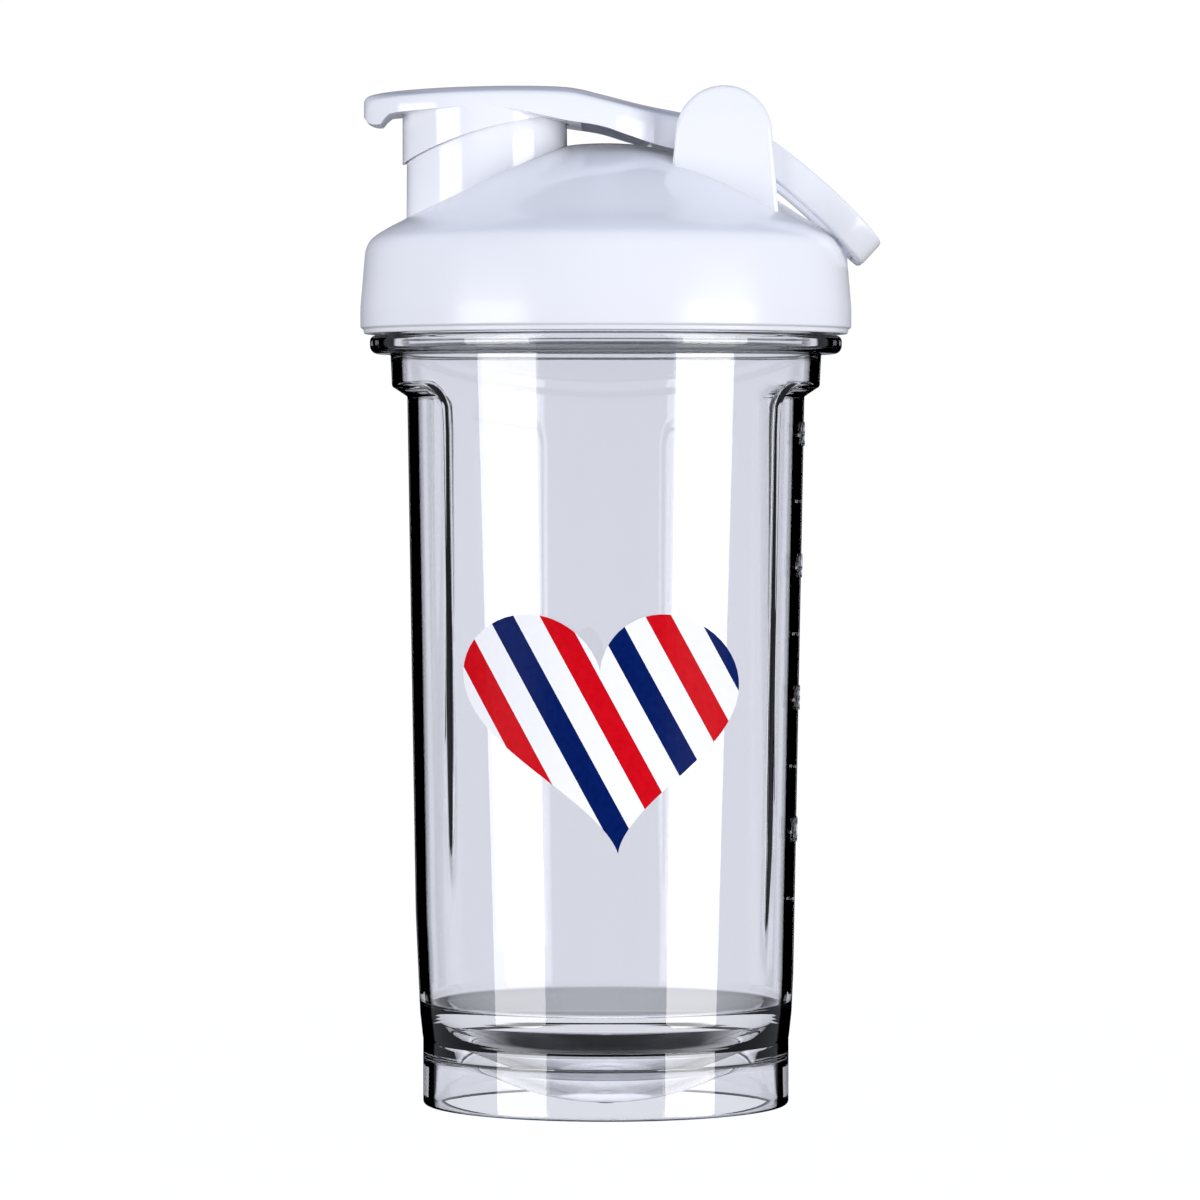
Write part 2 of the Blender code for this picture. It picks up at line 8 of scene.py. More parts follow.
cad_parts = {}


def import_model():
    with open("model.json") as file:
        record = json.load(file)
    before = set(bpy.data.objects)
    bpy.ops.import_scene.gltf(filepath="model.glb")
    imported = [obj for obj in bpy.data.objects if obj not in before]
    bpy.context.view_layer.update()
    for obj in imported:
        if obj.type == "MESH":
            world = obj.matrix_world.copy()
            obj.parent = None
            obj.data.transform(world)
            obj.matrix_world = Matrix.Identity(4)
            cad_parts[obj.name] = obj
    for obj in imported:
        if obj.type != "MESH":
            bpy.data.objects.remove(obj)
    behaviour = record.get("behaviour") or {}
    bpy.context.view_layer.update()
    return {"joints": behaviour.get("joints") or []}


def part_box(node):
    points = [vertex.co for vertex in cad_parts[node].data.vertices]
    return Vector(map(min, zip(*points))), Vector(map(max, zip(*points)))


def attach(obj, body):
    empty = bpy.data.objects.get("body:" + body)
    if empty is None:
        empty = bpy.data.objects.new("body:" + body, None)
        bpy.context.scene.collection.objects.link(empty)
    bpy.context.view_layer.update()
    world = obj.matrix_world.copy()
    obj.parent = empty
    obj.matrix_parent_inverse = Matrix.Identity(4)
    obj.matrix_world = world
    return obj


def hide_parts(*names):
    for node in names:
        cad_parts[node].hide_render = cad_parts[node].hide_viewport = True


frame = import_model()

MM = 0.001


def box_mm(node):
    low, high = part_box(node)
    return low / MM, high / MM


def joint_mm(name):
    joint = next(joint for joint in frame["joints"] if joint["name"] == name)
    return Vector(joint["pos_m"]) / MM


# Places taken from the frame
GASKET_LOW, GASKET_HIGH = box_mm("lid_gasket")
SEAL_LOW, SEAL_HIGH = box_mm("spout_seal")
PIN_LOW, PIN_HIGH = box_mm("hinge_pin")
PIVOT = joint_mm("cap_hinge")
RIM_Z = box_mm("cup")[1].z
LID_FOOT_Z = box_mm("lid")[0].z
SPOUT_X = (SEAL_LOW.x + SEAL_HIGH.x) / 2

# Cup
CUP_SEGMENTS = 288
WALL = 2.2
SKIRT_RADIUS, SKIRT_INNER_RADIUS = 37.5, 35.0
BODY_FOOT_Z, BODY_FOOT_RADIUS = 20.5, 38.2
BODY_TOP_Z, BODY_TOP_RADIUS = 147.0, 43.8
BOWL_OUTER_RADIUS, BOWL_OUTER_Z, BOWL_OUTER_REACH, BOWL_FLAT_Z = 54.0, 0.8, 34.0, 1.0
BOWL_INNER_RADIUS, BOWL_INNER_Z, BOWL_INNER_REACH = 48.2, 3.3, 30.0
WALL_FOOT_Z, WALL_TOP_Z, CORNER_Z = 30.0, 152.0, 21.0
BEAD_RADIUS, BEAD_FOOT_Z, BEAD_TOP_Z = 48.3, 153.6, 157.4
NECK_RADIUS, MOUTH_RADIUS = 45.3, 42.6

# Grips pressed into the cup's two sides, deepest at the top and a little wider there
GRIP_TURN = math.radians(2.5)
GRIP_HALF_WIDTHS = ((53.0, 24.4), (138.0, 29.5))
GRIP_TOP_Z, GRIP_FOOT_LEFT_Z, GRIP_FOOT_RIGHT_Z = 147.0, 39.0, 27.0
GRIP_DEPTH, GRIP_CORNER, GRIP_SQUAT = 3.1, 7.0, 0.75
GRIP_SLOPE, GRIP_BACK_FADE = 2.8, 16.0
GRIP_INNER_WIDER = 0.5
GRIP_FLOOR_COLUMN, GRIP_EDGE_COLUMN = math.radians(27.5), math.radians(37.5)

# Screw thread
THREAD_LEAD, THREAD_STARTS = 9.0, 2
THREAD_WRAP, THREAD_TAPER = math.radians(204), math.radians(12)
THREAD_FOOT_Z, THREAD_LOW_Z, THREAD_HIGH_Z = 162.0, 159.5, 170.5
THREAD_BASE_HALF, THREAD_CREST_HALF = 1.1, 0.5
CUP_CREST_RADIUS, LID_CREST_RADIUS = 46.6, 45.8
LID_THREAD_DROP = 1.8

# Lid
LID_SEGMENTS, SPOUT_SEGMENTS = 192, 128
COLLAR_BORE_RADIUS = 47.4
SEAT_Z, SEAT_RADIUS = 176.5, 46.9
LIP_OUTER_RADIUS, LIP_INNER_RADIUS, LIP_FOOT_Z = 41.9, 40.7, 168.0
DOME_WALL = 2.3
SPOUT_FOOT_RADIUS, SPOUT_TOP_RADIUS, SPOUT_TOP_Z = 16.5, 16.3, 203.6
BORE_RADIUS = 13.9
EAR_RADIUS, EAR_INNER_Y, EAR_OUTER_Y = 9.7, 16.4, 19.6
EAR_ROUND = 0.95
EAR_FOOT = [(13.2, 190.0), (13.2, 178.0), (34.9, 178.0), (34.9, 181.0)]
EAR_FOOT_Z = 179.0
PIN_HOLE_RADIUS = 1.6
GASKET_BORE_RADIUS = 42.2

# Flip cap
NOSE_X, NOSE_CENTRE_X, ARM_END_X = -49.5, -24.0, 20.5
POCKET_START_X, POCKET_END_X = -5.0, 18.4
ARM_HALF_WIDTH, KNUCKLE_HALF_WIDTH, KNUCKLE_RADIUS = 17.5, 13.05, 4.3
ARM_EDGE_ROUND = 0.9
ARM_SKIN = 2.0
CROWN_RISE = 1.9
SLEEVE_RADIUS, SLEEVE_BORE_RADIUS, SLEEVE_ROOF_Z = 17.3, 16.75, 205.3
SLEEVE_FRONT, SLEEVE_BACK, SLEEVE_EDGE_RADIUS = (-41.65, 192.3), (-8.9, 201.9), 91.0

# White plastic: its roughness on the collar and above, and the heights it changes between, in metres
COLLAR_ROUGHNESS, TOP_ROUGHNESS, GLOSS_HEIGHTS = 0.24, 0.09, (0.178, 0.190)

# Carry loop
LOOP_REST = math.radians(-42.4)
LOOP_LENGTH, LOOP_OUTER_V, LOOP_BAND, LOOP_DEPTH, LOOP_CORNER = 38.5, 16.1, 2.7, 6.3, 9.5
LOOP_EYE_RADIUS = 4.4
LOOP_ROUND = 0.8

# Studio. The dark wings' angles are in degrees from straight behind the bottle
WING_START, WING_START_SOLID, WING_END, WING_SOFT = 24.0, 4.0, 42.0, 0.4
FLOOR_RADIUS, FLOOR_DROP = 250.0, 0.2
THROUGH_COLOUR = (0.94, 0.955, 1.03)
FLOOR_GLOW, BACK_GLOW, SHINE_GLOW, FILL_GLOW, TOP_GLOW = 1.06, 0.84, 0.28, 0.37, 0.80
# the middle one of the next three raises the paper's glow under the bowl, seen through the bottle: painted
# light
CAMERA_GLOW, UNDER_BOWL_PAINTED_LIGHT, FRONT_SHARE = 1.02, 1.0, 0.3
SKY_COLOUR, SHINE_COLOUR = (0.75, 0.80, 1.0), (0.82, 0.86, 1.0)
# Light that has crossed one wall has a transmission depth of 2, and 4 when it has crossed two
TWO_WALLS = (2.5, 3.5)
SKY_DARKENS, DARK_SKY, SKY_BRIGHTENS = (0.10, 0.25), 0.05, (0.0, 0.8)
FRONT_FADES = (-0.6, -0.2)
# Where the painted light and painted shade on the paper, seen through the bottle, change: by metres from the
# cup's axis and by how edge-on it is seen
PALE_SPOT, BOOST_END = (0.010, 0.012), (0.036, 0.042)
PALE_RING_START, PALE_RING_END = (0.033, 0.035), (0.048, 0.052)
PALE_GRAZING = (0.22, 0.80)
SOFTBOX_DISTANCE, SOFTBOX_WIDTH, SOFTBOX_HEIGHT, SOFTBOX_AIM = 1.2, 0.74, 0.62, Vector((0, 0, 0.05))
CAMERA_PLACE, CAMERA_TILT, CAMERA_LENS, CAMERA_SENSOR = Vector((-0.0012, -1.262, 0.134)), 1.396, 184.7, 36.0

# Print on the cup's front
PRINT_CENTRE, PRINT_SIZE = (-0.4, 77.5), (55.0, 48.0)
PRINT_LIFT, PRINT_THICKNESS = 0.05, 0.05
BAND_TILT, BAND_WIDTH, BAND_COLOURS = -61.5, 4.6, (0, 1, 2, 1)
HEART_POINTS, STRIP_WIDTH, STRIP_SHIFT = 120, 2.0, 0.03

# Volume marks: long ticks at the numbers and short ones between
MARK_HEIGHTS = (56.0, 83.0, 110.0, 137.0)
MARK_FIRST, MARK_STEP, MARK_SIZE = 200, 100, 7.0
MARK_LIFT, MARK_THICKNESS = 0.03, 0.25
TICK_START, TICK_LENGTHS, TICK_HALF = -10.0, (3.0, 1.5), 0.3


# ---- mesh helpers

WELD = 0.002 * MM

def filleted(points, pieces=6):
    """A line through (x, z) or (x, z, radius) points, with an arc at each corner that has a radius."""
    line = []
    for index, point in enumerate(points):
        here = Vector(point[:2])
        if len(point) < 3 or index in (0, len(points) - 1):
            line.append(tuple(here))
            continue
        before, after = Vector(points[index - 1][:2]), Vector(points[index + 1][:2])
        back, on = (before - here).normalized(), (after - here).normalized()
        half = math.acos(max(-1.0, min(1.0, back.dot(on)))) / 2
        reach = point[2] / math.tan(half)
        centre = here + (back + on).normalized() * point[2] / math.sin(half)
        start, end = here + back * reach - centre, here + on * reach - centre
        turn = start.angle_signed(end)
        for step in range(pieces + 1):
            line.append(tuple(centre + start @ Matrix.Rotation(turn * step / pieces, 2)))
    return line


def curve(points, pieces):
    """A Catmull-Rom curve through the points, with each span cut into this many pieces."""
    line = []
    padded = [points[0], *points, points[-1]]
    for a, b, c, d in zip(padded, padded[1:], padded[2:], padded[3:]):
        for step in range(pieces):
            t = step / pieces
            line.append(tuple(
                0.5 * (2 * q + (r - p) * t + (2 * p - 5 * q + 4 * r - s) * t**2
                       + (3 * q - p - 3 * r + s) * t**3)
                for p, q, r, s in zip(a, b, c, d)
            ))
    return [*line, tuple(points[-1])]


def finer(line, longest):
    """The same line with every stretch longer than this cut into equal pieces."""
    made = [line[0]]
    for a, b in zip(line, line[1:]):
        a, b = Vector(a), Vector(b)
        count = max(1, math.ceil((b - a).length / longest))
        made += [tuple(a.lerp(b, step / count)) for step in range(1, count + 1)]
    return made


def ramp(value, table):
    """The value of a table of (place, value) pairs, straight between its rows and level past its ends."""
    if value <= table[0][0]:
        return table[0][1]
    for (low, first), (high, second) in zip(table, table[1:]):
        if value <= high:
            return first + (second - first) * (value - low) / (high - low)
    return table[-1][1]


def smooth(share):
    share = min(1.0, max(0.0, share))
    return share * share * (3 - 2 * share)


def mesh_object(name, verts, faces, sharp=35.0):
    """An object from vertices in millimetres, facing outwards and shaded smooth up to the sharp angle."""
    data = bpy.data.meshes.new(name)
    data.from_pydata([tuple(Vector(v) * MM) for v in verts], [], faces)
    mesh = bmesh.new()
    mesh.from_mesh(data)
    bmesh.ops.recalc_face_normals(mesh, faces=mesh.faces)
    mesh.to_mesh(data)
    mesh.free()
    obj = bpy.data.objects.new(name, data)
    bpy.context.scene.collection.objects.link(obj)
    shade(obj, sharp)
    return obj


def shade(obj, sharp):
    obj.data.shade_smooth()
    obj.data.set_sharp_from_angle(angle=math.radians(sharp))


def turned(name, profile, segments, centre_x=0.0, closed=False, place=None, phase=0.0, sharp=35.0):
    """The (radius, height) profile turned round an upright axis, in equal segments or at a list of angles.

    place(r, z, angle, index) may move a point, and returns its radius and angle.
    """
    angles = segments
    if isinstance(segments, int):
        angles = [math.tau * (number + phase) / segments for number in range(segments)]
    verts, faces, rings = [], [], []
    for index, (r, z) in enumerate(profile):
        here = angles[:1] if r < 1e-6 else angles
        rings.append((len(verts), len(here)))
        for angle in here:
            reach, turn = place(r, z, angle, index) if place and r > 1e-6 else (r, angle)
            verts.append((centre_x + reach * math.cos(turn), reach * math.sin(turn), z))
    pairs = list(zip(rings, rings[1:])) + ([(rings[-1], rings[0])] if closed else [])
    for (first, count_a), (second, count_b) in pairs:
        for number in range(len(angles)):
            beside = (number + 1) % len(angles)
            a, b = first + number % count_a, first + beside % count_a
            c, d = second + beside % count_b, second + number % count_b
            face = [a, b, c, d]
            faces.append([v for spot, v in enumerate(face) if v not in face[:spot]])
    return mesh_object(name, verts, [face for face in faces if len(face) > 2], sharp)


def lofted(name, rings, sharp=35.0):
    """Equal closed rings of points joined in order, with both ends filled."""
    size = len(rings[0])
    verts = [point for ring in rings for point in ring]
    faces = []
    for number in range(len(rings) - 1):
        for side in range(size):
            beside = (side + 1) % size
            low = number * size
            faces.append((low + side, low + beside, low + size + beside, low + size + side))
    faces.append(tuple(range(size)))
    faces.append(tuple(len(verts) - size + side for side in range(size)))
    return mesh_object(name, verts, faces, sharp)


def bar(name, x, z, radius, y_low, y_high, segments=64):
    """A round bar along Y with slightly broken edges."""
    edge = min(0.25, radius / 4)
    profile = [(0.0, y_low), (radius - edge, y_low), (radius, y_low + edge), (radius, y_high - edge),
               (radius - edge, y_high), (0.0, y_high)]
    obj = turned(name, profile, segments)
    turn = Matrix.Translation(Vector((x, 0, z)) * MM) @ Matrix.Rotation(-math.pi / 2, 4, "X")
    obj.data.transform(turn)
    return obj


def combined(obj, cuts, sharp=35.0):
    """Applies a list of (operation, object) Booleans in order, and clears the objects away."""
    for operation, other in cuts:
        modifier = obj.modifiers.new(operation, "BOOLEAN")
        modifier.operation = operation
        modifier.solver = "EXACT"
        modifier.object = other
    bpy.context.view_layer.update()
    evaluated = obj.evaluated_get(bpy.context.evaluated_depsgraph_get())
    made = bpy.data.meshes.new_from_object(evaluated)
    obj.modifiers.clear()
    obj.data = made
    for _, other in cuts:
        bpy.data.objects.remove(other)
    tidy = bmesh.new()
    tidy.from_mesh(made)
    bmesh.ops.remove_doubles(tidy, verts=tidy.verts, dist=WELD)
    bmesh.ops.dissolve_degenerate(tidy, edges=tidy.edges, dist=WELD / 2)
    tidy.to_mesh(made)
    tidy.free()
    shade(obj, sharp)
    return obj


def finish_piece(obj, body, slot, finish, *nodes):
    """Gives a piece its material and its place in the frame."""
    obj.data.materials.clear()
    obj.data.materials.append(finish)
    for polygon in obj.data.polygons:
        polygon.material_index = 0
    if nodes:
        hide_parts(*nodes)
    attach(obj, body)
    return obj


# ---- materials


class Nodes:
    """A material's node tree with short ways to add and join its nodes."""

    def __init__(self, name):
        self.material = bpy.data.materials.new(name)
        self.material.use_nodes = True
        self.tree = self.material.node_tree
        self.shader = self.tree.nodes["Principled BSDF"]
        self.place = self.tree.nodes.new("ShaderNodeTexCoord").outputs["Object"]

    def add(self, kind, **values):
        node = self.tree.nodes.new(kind)
        for name, value in values.items():
            setattr(node, name, value)
        return node

    def join(self, source, target):
        self.tree.links.new(source, target)

    def noise(self, scale, detail=3.0, stretch=(1, 1, 1)):
        """Noise with this many waves in a metre, stretched along the axes."""
        mapping = self.add("ShaderNodeMapping")
        mapping.inputs["Scale"].default_value = stretch
        self.join(self.place, mapping.inputs["Vector"])
        made = self.add("ShaderNodeTexNoise")
        made.inputs["Scale"].default_value = scale
        made.inputs["Detail"].default_value = detail
        self.join(mapping.outputs["Vector"], made.inputs["Vector"])
        return made.outputs["Fac"]

    def spread(self, source, low, high, low_from=0.3, high_from=0.7):
        """Maps a noise's middle range onto low to high."""
        made = self.add("ShaderNodeMapRange")
        ends = (("From Min", low_from), ("From Max", high_from), ("To Min", low), ("To Max", high))
        for name, value in ends:
            made.inputs[name].default_value = value
        self.join(source, made.inputs["Value"])
        return made.outputs["Result"]

    def tint(self, source, low, high):
        """A colour that goes from low to high with the noise."""
        made = self.add("ShaderNodeMix", data_type="RGBA")
        made.inputs["A"].default_value = (*low, 1.0)
        made.inputs["B"].default_value = (*high, 1.0)
        self.join(self.spread(source, 0.0, 1.0), made.inputs["Factor"])
        self.join(made.outputs["Result"], self.shader.inputs["Base Color"])

    def bump(self, *layers):
        """Stacks (height, depth in millimetres) layers into one bump."""
        before = None
        for height, depth in layers:
            made = self.add("ShaderNodeBump")
            made.inputs["Strength"].default_value = 1.0
            made.inputs["Distance"].default_value = depth * MM
            self.join(height, made.inputs["Height"])
            if before:
                self.join(before, made.inputs["Normal"])
            before = made.outputs["Normal"]
        self.join(before, self.shader.inputs["Normal"])

    def rough(self, source, low, high):
        self.join(self.spread(source, low, high), self.shader.inputs["Roughness"])

    def fixed(self, **values):
        for name, value in values.items():
            self.shader.inputs[name.replace("_", " ")].default_value = value


def clear_plastic():
    """Clear copolyester: a faint grey tint, slow ripples from moulding and a few hairline scuffs."""
    made = Nodes("clear_plastic")
    made.fixed(Transmission_Weight=1.0, IOR=1.54, Metallic=0.0)
    made.tint(made.noise(9), (0.93, 0.935, 0.955), (0.95, 0.955, 0.97))
    made.rough(made.noise(420, stretch=(1, 1, 0.15)), 0.0, 0.004)
    made.bump((made.noise(26, 1, (1, 1, 0.35)), 0.006))
    return made.material


def white_plastic():
    """Moulded white polypropylene: satin on the collar, glossier above it, with slow sink marks."""
    made = Nodes("white_plastic")
    made.fixed(IOR=1.49, Metallic=0.0)
    made.tint(made.noise(30), (0.880, 0.888, 0.915), (0.900, 0.908, 0.93))
    split = made.add("ShaderNodeSeparateXYZ")
    made.join(made.place, split.inputs["Vector"])
    satin = steps(made.tree, split.outputs["Z"], *GLOSS_HEIGHTS, COLLAR_ROUGHNESS, TOP_ROUGHNESS)
    uneven = made.spread(made.noise(260, 4), -0.02, 0.03)
    made.join(maths(made.tree, "ADD", satin, uneven), made.shader.inputs["Roughness"])
    made.bump((made.noise(45, 1), 0.012))
    return made.material


def silicone():
    """Soft translucent silicone with a dusty, slightly uneven surface."""
    made = Nodes("silicone")
    made.fixed(IOR=1.42, Subsurface_Weight=0.25, Subsurface_Scale=0.004, Sheen_Weight=0.1)
    made.tint(made.noise(60), (0.78, 0.79, 0.81), (0.84, 0.85, 0.87))
    made.rough(made.noise(500, 4), 0.45, 0.62)
    made.bump((made.noise(900, 3), 0.006))
    return made.material


def ground_steel():
    """Drawn steel pin with fine lines along its length."""
    made = Nodes("ground_steel")
    made.fixed(Metallic=1.0)
    made.tint(made.noise(300, 3, (1, 0.05, 1)), (0.55, 0.55, 0.56), (0.68, 0.68, 0.69))
    made.rough(made.noise(900, 3, (1, 0.04, 1)), 0.18, 0.34)
    made.bump((made.noise(2500, 2, (1, 0.02, 1)), 0.002))
    return made.material


def ink(name, low, high):
    """Screen ink: an even, nearly dull coat with a faint mottle from the mesh."""
    made = Nodes(name)
    made.fixed(IOR=1.45, Specular_IOR_Level=0.03)
    made.tint(made.noise(700, 2), low, high)
    made.rough(made.noise(1500, 3), 0.25, 0.38)
    made.bump((made.noise(3200, 2), 0.0015))
    return made.material


def maths(tree, operation, a, b=None):
    """The output of a Math node; a and b are numbers or sockets."""
    node = tree.nodes.new("ShaderNodeMath")
    node.operation = operation
    for socket, value in zip(node.inputs, (a, b)):
        if isinstance(value, (int, float)):
            socket.default_value = value
        elif value is not None:
            tree.links.new(value, socket)
    return node.outputs["Value"]


def steps(tree, value, low, high, out_low, out_high):
    """Maps a socket's range low to high onto out_low to out_high, level past both ends."""
    node = tree.nodes.new("ShaderNodeMapRange")
    ends = (("From Min", low), ("From Max", high), ("To Min", out_low), ("To Max", out_high))
    for name, number in ends:
        node.inputs[name].default_value = number
    tree.links.new(value, node.inputs["Value"])
    return node.outputs["Result"]


def wings(tree, place, start, panel_half=0.0):
    """1, or 0 in two dark wings behind the bottle, either side of the narrow pale panel at its back."""
    split = tree.nodes.new("ShaderNodeSeparateXYZ")
    tree.links.new(place, split.inputs["Vector"])
    beside = maths(tree, "SUBTRACT", maths(tree, "ABSOLUTE", split.outputs["X"]), panel_half)
    turn = maths(tree, "ARCTAN2", beside, split.outputs["Y"])
    past = maths(tree, "SUBTRACT", turn, start)
    end, soft = math.radians(WING_END), math.radians(WING_SOFT)
    inside = steps(tree, past, -soft, soft, 1.0, 0.0)
    outside = steps(tree, turn, end - 4 * soft, end + 4 * soft, 0.0, 1.0)
    return maths(tree, "MAXIMUM", inside, outside), split


def floor_finish():
    """Pale paper that glows evenly white to the camera. Through the bottle its glow shows the dark wings,
    painted shade.

    There it is also painted dark where it is looked down on, a painted shadow, but for a spot in its middle
    and a ring round the cup, which are painted light.
    """
    made = Nodes("studio_paper")
    tree = made.tree
    made.fixed(Specular_IOR_Level=0.0, Emission_Color=(*THROUGH_COLOUR, 1.0))
    # painted shade: seen through the bottle, the paper's glow goes dark in the two wings
    pale, split = wings(tree, made.place, math.radians(WING_START), BODY_FOOT_RADIUS * MM)
    squares = [maths(tree, "MULTIPLY", split.outputs[name], split.outputs[name]) for name in "XY"]
    reach = maths(tree, "SQRT", maths(tree, "ADD", *squares))
    # painted light: through the bottle the paper stays pale in a spot in its middle and in a ring round the
    # cup
    middle = steps(tree, reach, *PALE_SPOT, 1.0, 0.0)
    ring_start = steps(tree, reach, *PALE_RING_START, 0.0, 1.0)
    ring_end = steps(tree, reach, *PALE_RING_END, 1.0, 0.0)
    ring = maths(tree, "MINIMUM", ring_start, ring_end)
    # painted shadow: through the bottle the paper is dark where it is looked down on, and pale where it is
    # seen edge-on
    weight = made.add("ShaderNodeLayerWeight")
    grazing = steps(tree, weight.outputs["Facing"], *PALE_GRAZING, 0.0, 1.0)
    painted_light = maths(tree, "MAXIMUM", maths(tree, "MAXIMUM", middle, grazing), ring)
    path = made.add("ShaderNodeLightPath")
    # under the bowl the light crosses many walls, and the paper's glow there is raised to make up for them:
    # painted light
    walls = steps(tree, path.outputs["Transmission Depth"], *TWO_WALLS, 0.0, 1.0)
    boost = maths(tree, "MULTIPLY", walls, steps(tree, reach, *BOOST_END, UNDER_BOWL_PAINTED_LIGHT, 0.0))
    brightness = maths(tree, "MULTIPLY", maths(tree, "ADD", boost, 1.0), BACK_GLOW)
    painted_light = maths(tree, "MULTIPLY", painted_light, brightness)
    # the camera sees the paper's even glow; other rays see its painted light and painted shade
    glow = made.add("ShaderNodeMix")
    made.join(path.outputs["Is Camera Ray"], glow.inputs["Factor"])
    made.join(maths(tree, "MULTIPLY", pale, painted_light), glow.inputs["A"])
    glow.inputs["B"].default_value = FLOOR_GLOW
    made.join(glow.outputs["Result"], made.shader.inputs["Emission Strength"])
    # the paper's own colour is nearly black, painted shade, so that it gives back almost no light and only its
    # glow shows
    made.tint(made.noise(25), (0.002, 0.002, 0.002), (0.004, 0.004, 0.004))
    made.rough(made.noise(400, 4), 0.75, 0.95)
    made.bump((made.noise(1500, 3), 0.01))
    return made.material


# ---- cup


def body_radius(z):
    share = (z - BODY_FOOT_Z) / (BODY_TOP_Z - BODY_FOOT_Z)
    return BODY_FOOT_RADIUS + (BODY_TOP_RADIUS - BODY_FOOT_RADIUS) * share


def sphere_height(radius, foot_z, r):
    return foot_z + radius - math.sqrt(radius**2 - r**2)


def bowl_arc(radius, foot_z, start, end, pieces=24):
    """Points on the bowl from one distance from the axis to another."""
    reaches = (start + (end - start) * step / pieces for step in range(pieces + 1))
    return [(r, sphere_height(radius, foot_z, r)) for r in reaches]


def grip_offset(angle):
    """The signed angle from the middle of the nearer grip, and whether that is the left one."""
    return (angle - GRIP_TURN + math.pi / 2) % math.pi - math.pi / 2, math.cos(angle - GRIP_TURN) < 0


def grip_inset(z, angle, wider):
    """How far a grip pulls the wall in here. wider moves its edges outwards, for the inner wall."""
    off, on_left = grip_offset(angle)
    from_side = ramp(z, GRIP_HALF_WIDTHS) + wider - abs(off) * body_radius(z)
    across = GRIP_CORNER - from_side
    up = (z - GRIP_TOP_Z - wider) / GRIP_SQUAT + GRIP_CORNER
    outside = math.hypot(max(across, 0.0), max(up, 0.0)) + min(max(across, up), 0.0) - GRIP_CORNER
    foot = GRIP_FOOT_LEFT_Z if on_left else GRIP_FOOT_RIGHT_Z
    depth = ramp(z, ((foot, 0.0), (GRIP_TOP_Z, GRIP_DEPTH)))
    share = min(1.0, max(0.0, -outside / GRIP_SLOPE))
    if (off < 0) == on_left:
        share *= smooth(from_side / GRIP_BACK_FADE)  # towards the back the grip runs out softly
    return depth * share


def grip_column(angle, z):
    """Moves the mesh's columns along so that two of them follow each side of a grip's slope."""
    off, _ = grip_offset(angle)
    reach = body_radius(min(max(z, BODY_FOOT_Z), GRIP_TOP_Z))
    edge = ramp(z, GRIP_HALF_WIDTHS) / reach
    floor = edge - GRIP_SLOPE / reach
    quarter = math.pi / 2
    columns = ((0.0, 0.0), (GRIP_FLOOR_COLUMN, floor), (GRIP_EDGE_COLUMN, edge), (quarter, quarter))
    moved = ramp(abs(off), columns)
    return angle + math.copysign(moved - abs(off), off)


def thread_height(z, angle, foot_z):
    """0 to 1: how much of the thread's ridge stands here."""
    best = 0.0
    for start in range(THREAD_STARTS):
        along = (angle - math.tau * start / THREAD_STARTS) % math.tau
        if along > THREAD_WRAP:
            continue
        off = abs(z - foot_z - THREAD_LEAD * along / math.tau)
        rise = 1 - smooth((off - THREAD_CREST_HALF) / (THREAD_BASE_HALF - THREAD_CREST_HALF))
        ends = smooth(min(along, THREAD_WRAP - along) / THREAD_TAPER)
        best = max(best, rise * ends)
    return best


def cup_profile():
    """The cup's outline from the middle of its underside, round the rim, to the middle of the bowl."""
    flat = math.sqrt(2 * BOWL_OUTER_RADIUS * (BOWL_FLAT_Z - BOWL_OUTER_Z))
    sprue = [(0.0, BOWL_FLAT_Z - 0.4), (1.7, BOWL_FLAT_Z - 0.4), (2.0, BOWL_FLAT_Z)]
    under = [*sprue, *bowl_arc(BOWL_OUTER_RADIUS, BOWL_OUTER_Z, flat, BOWL_OUTER_REACH)]
    skirt = filleted([
        under[-1], (34.6, 15.2, 0.8), (SKIRT_INNER_RADIUS, 0.0, 0.5), (SKIRT_RADIUS, 0.0, 0.7),
        (SKIRT_RADIUS, 13.5, 0.2), (SKIRT_RADIUS + 0.1, 14.0, 0.2), (SKIRT_RADIUS + 0.6, 18.6, 0.2),
        (BODY_FOOT_RADIUS - 0.05, 19.3, 0.3), (BODY_FOOT_RADIUS, BODY_FOOT_Z),
    ])
    neck = filleted([
        (body_radius(BODY_FOOT_Z), BODY_FOOT_Z), (body_radius(BEAD_FOOT_Z), BEAD_FOOT_Z, 0.4),
        (BEAD_RADIUS, BEAD_FOOT_Z, 1.7), (BEAD_RADIUS, BEAD_TOP_Z, 1.2), (NECK_RADIUS, BEAD_TOP_Z, 0.3),
        (NECK_RADIUS, RIM_Z, 0.9), (MOUTH_RADIUS, RIM_Z, 0.9), (MOUTH_RADIUS, 170.0, 6.0),
        (body_radius(WALL_TOP_Z) - WALL, WALL_TOP_Z, 6.0), (body_radius(WALL_FOOT_Z) - WALL, WALL_FOOT_Z),
    ])
    inside = bowl_arc(BOWL_INNER_RADIUS, BOWL_INNER_Z, BOWL_INNER_REACH, 0.0)
    corner = filleted([neck[-1], (body_radius(CORNER_Z + 0.5) - WALL, CORNER_Z, 1.2), inside[0]])
    return finer(under[:-1] + skirt[:-1] + neck[:-1] + corner[:-1] + inside, 1.6)


def cup_columns():
    """The cup's columns: equally spaced, with one more either side of each edge of the grips' slopes."""
    columns = {math.tau * number / CUP_SEGMENTS for number in range(CUP_SEGMENTS)}
    for middle in (GRIP_TURN, GRIP_TURN + math.pi):
        for edge in (GRIP_FLOOR_COLUMN, GRIP_EDGE_COLUMN):
            for side in (-1, 1):
                columns |= {middle + side * edge + math.radians(close) for close in (-0.4, 0.4)}
    return sorted(angle % math.tau for angle in columns)


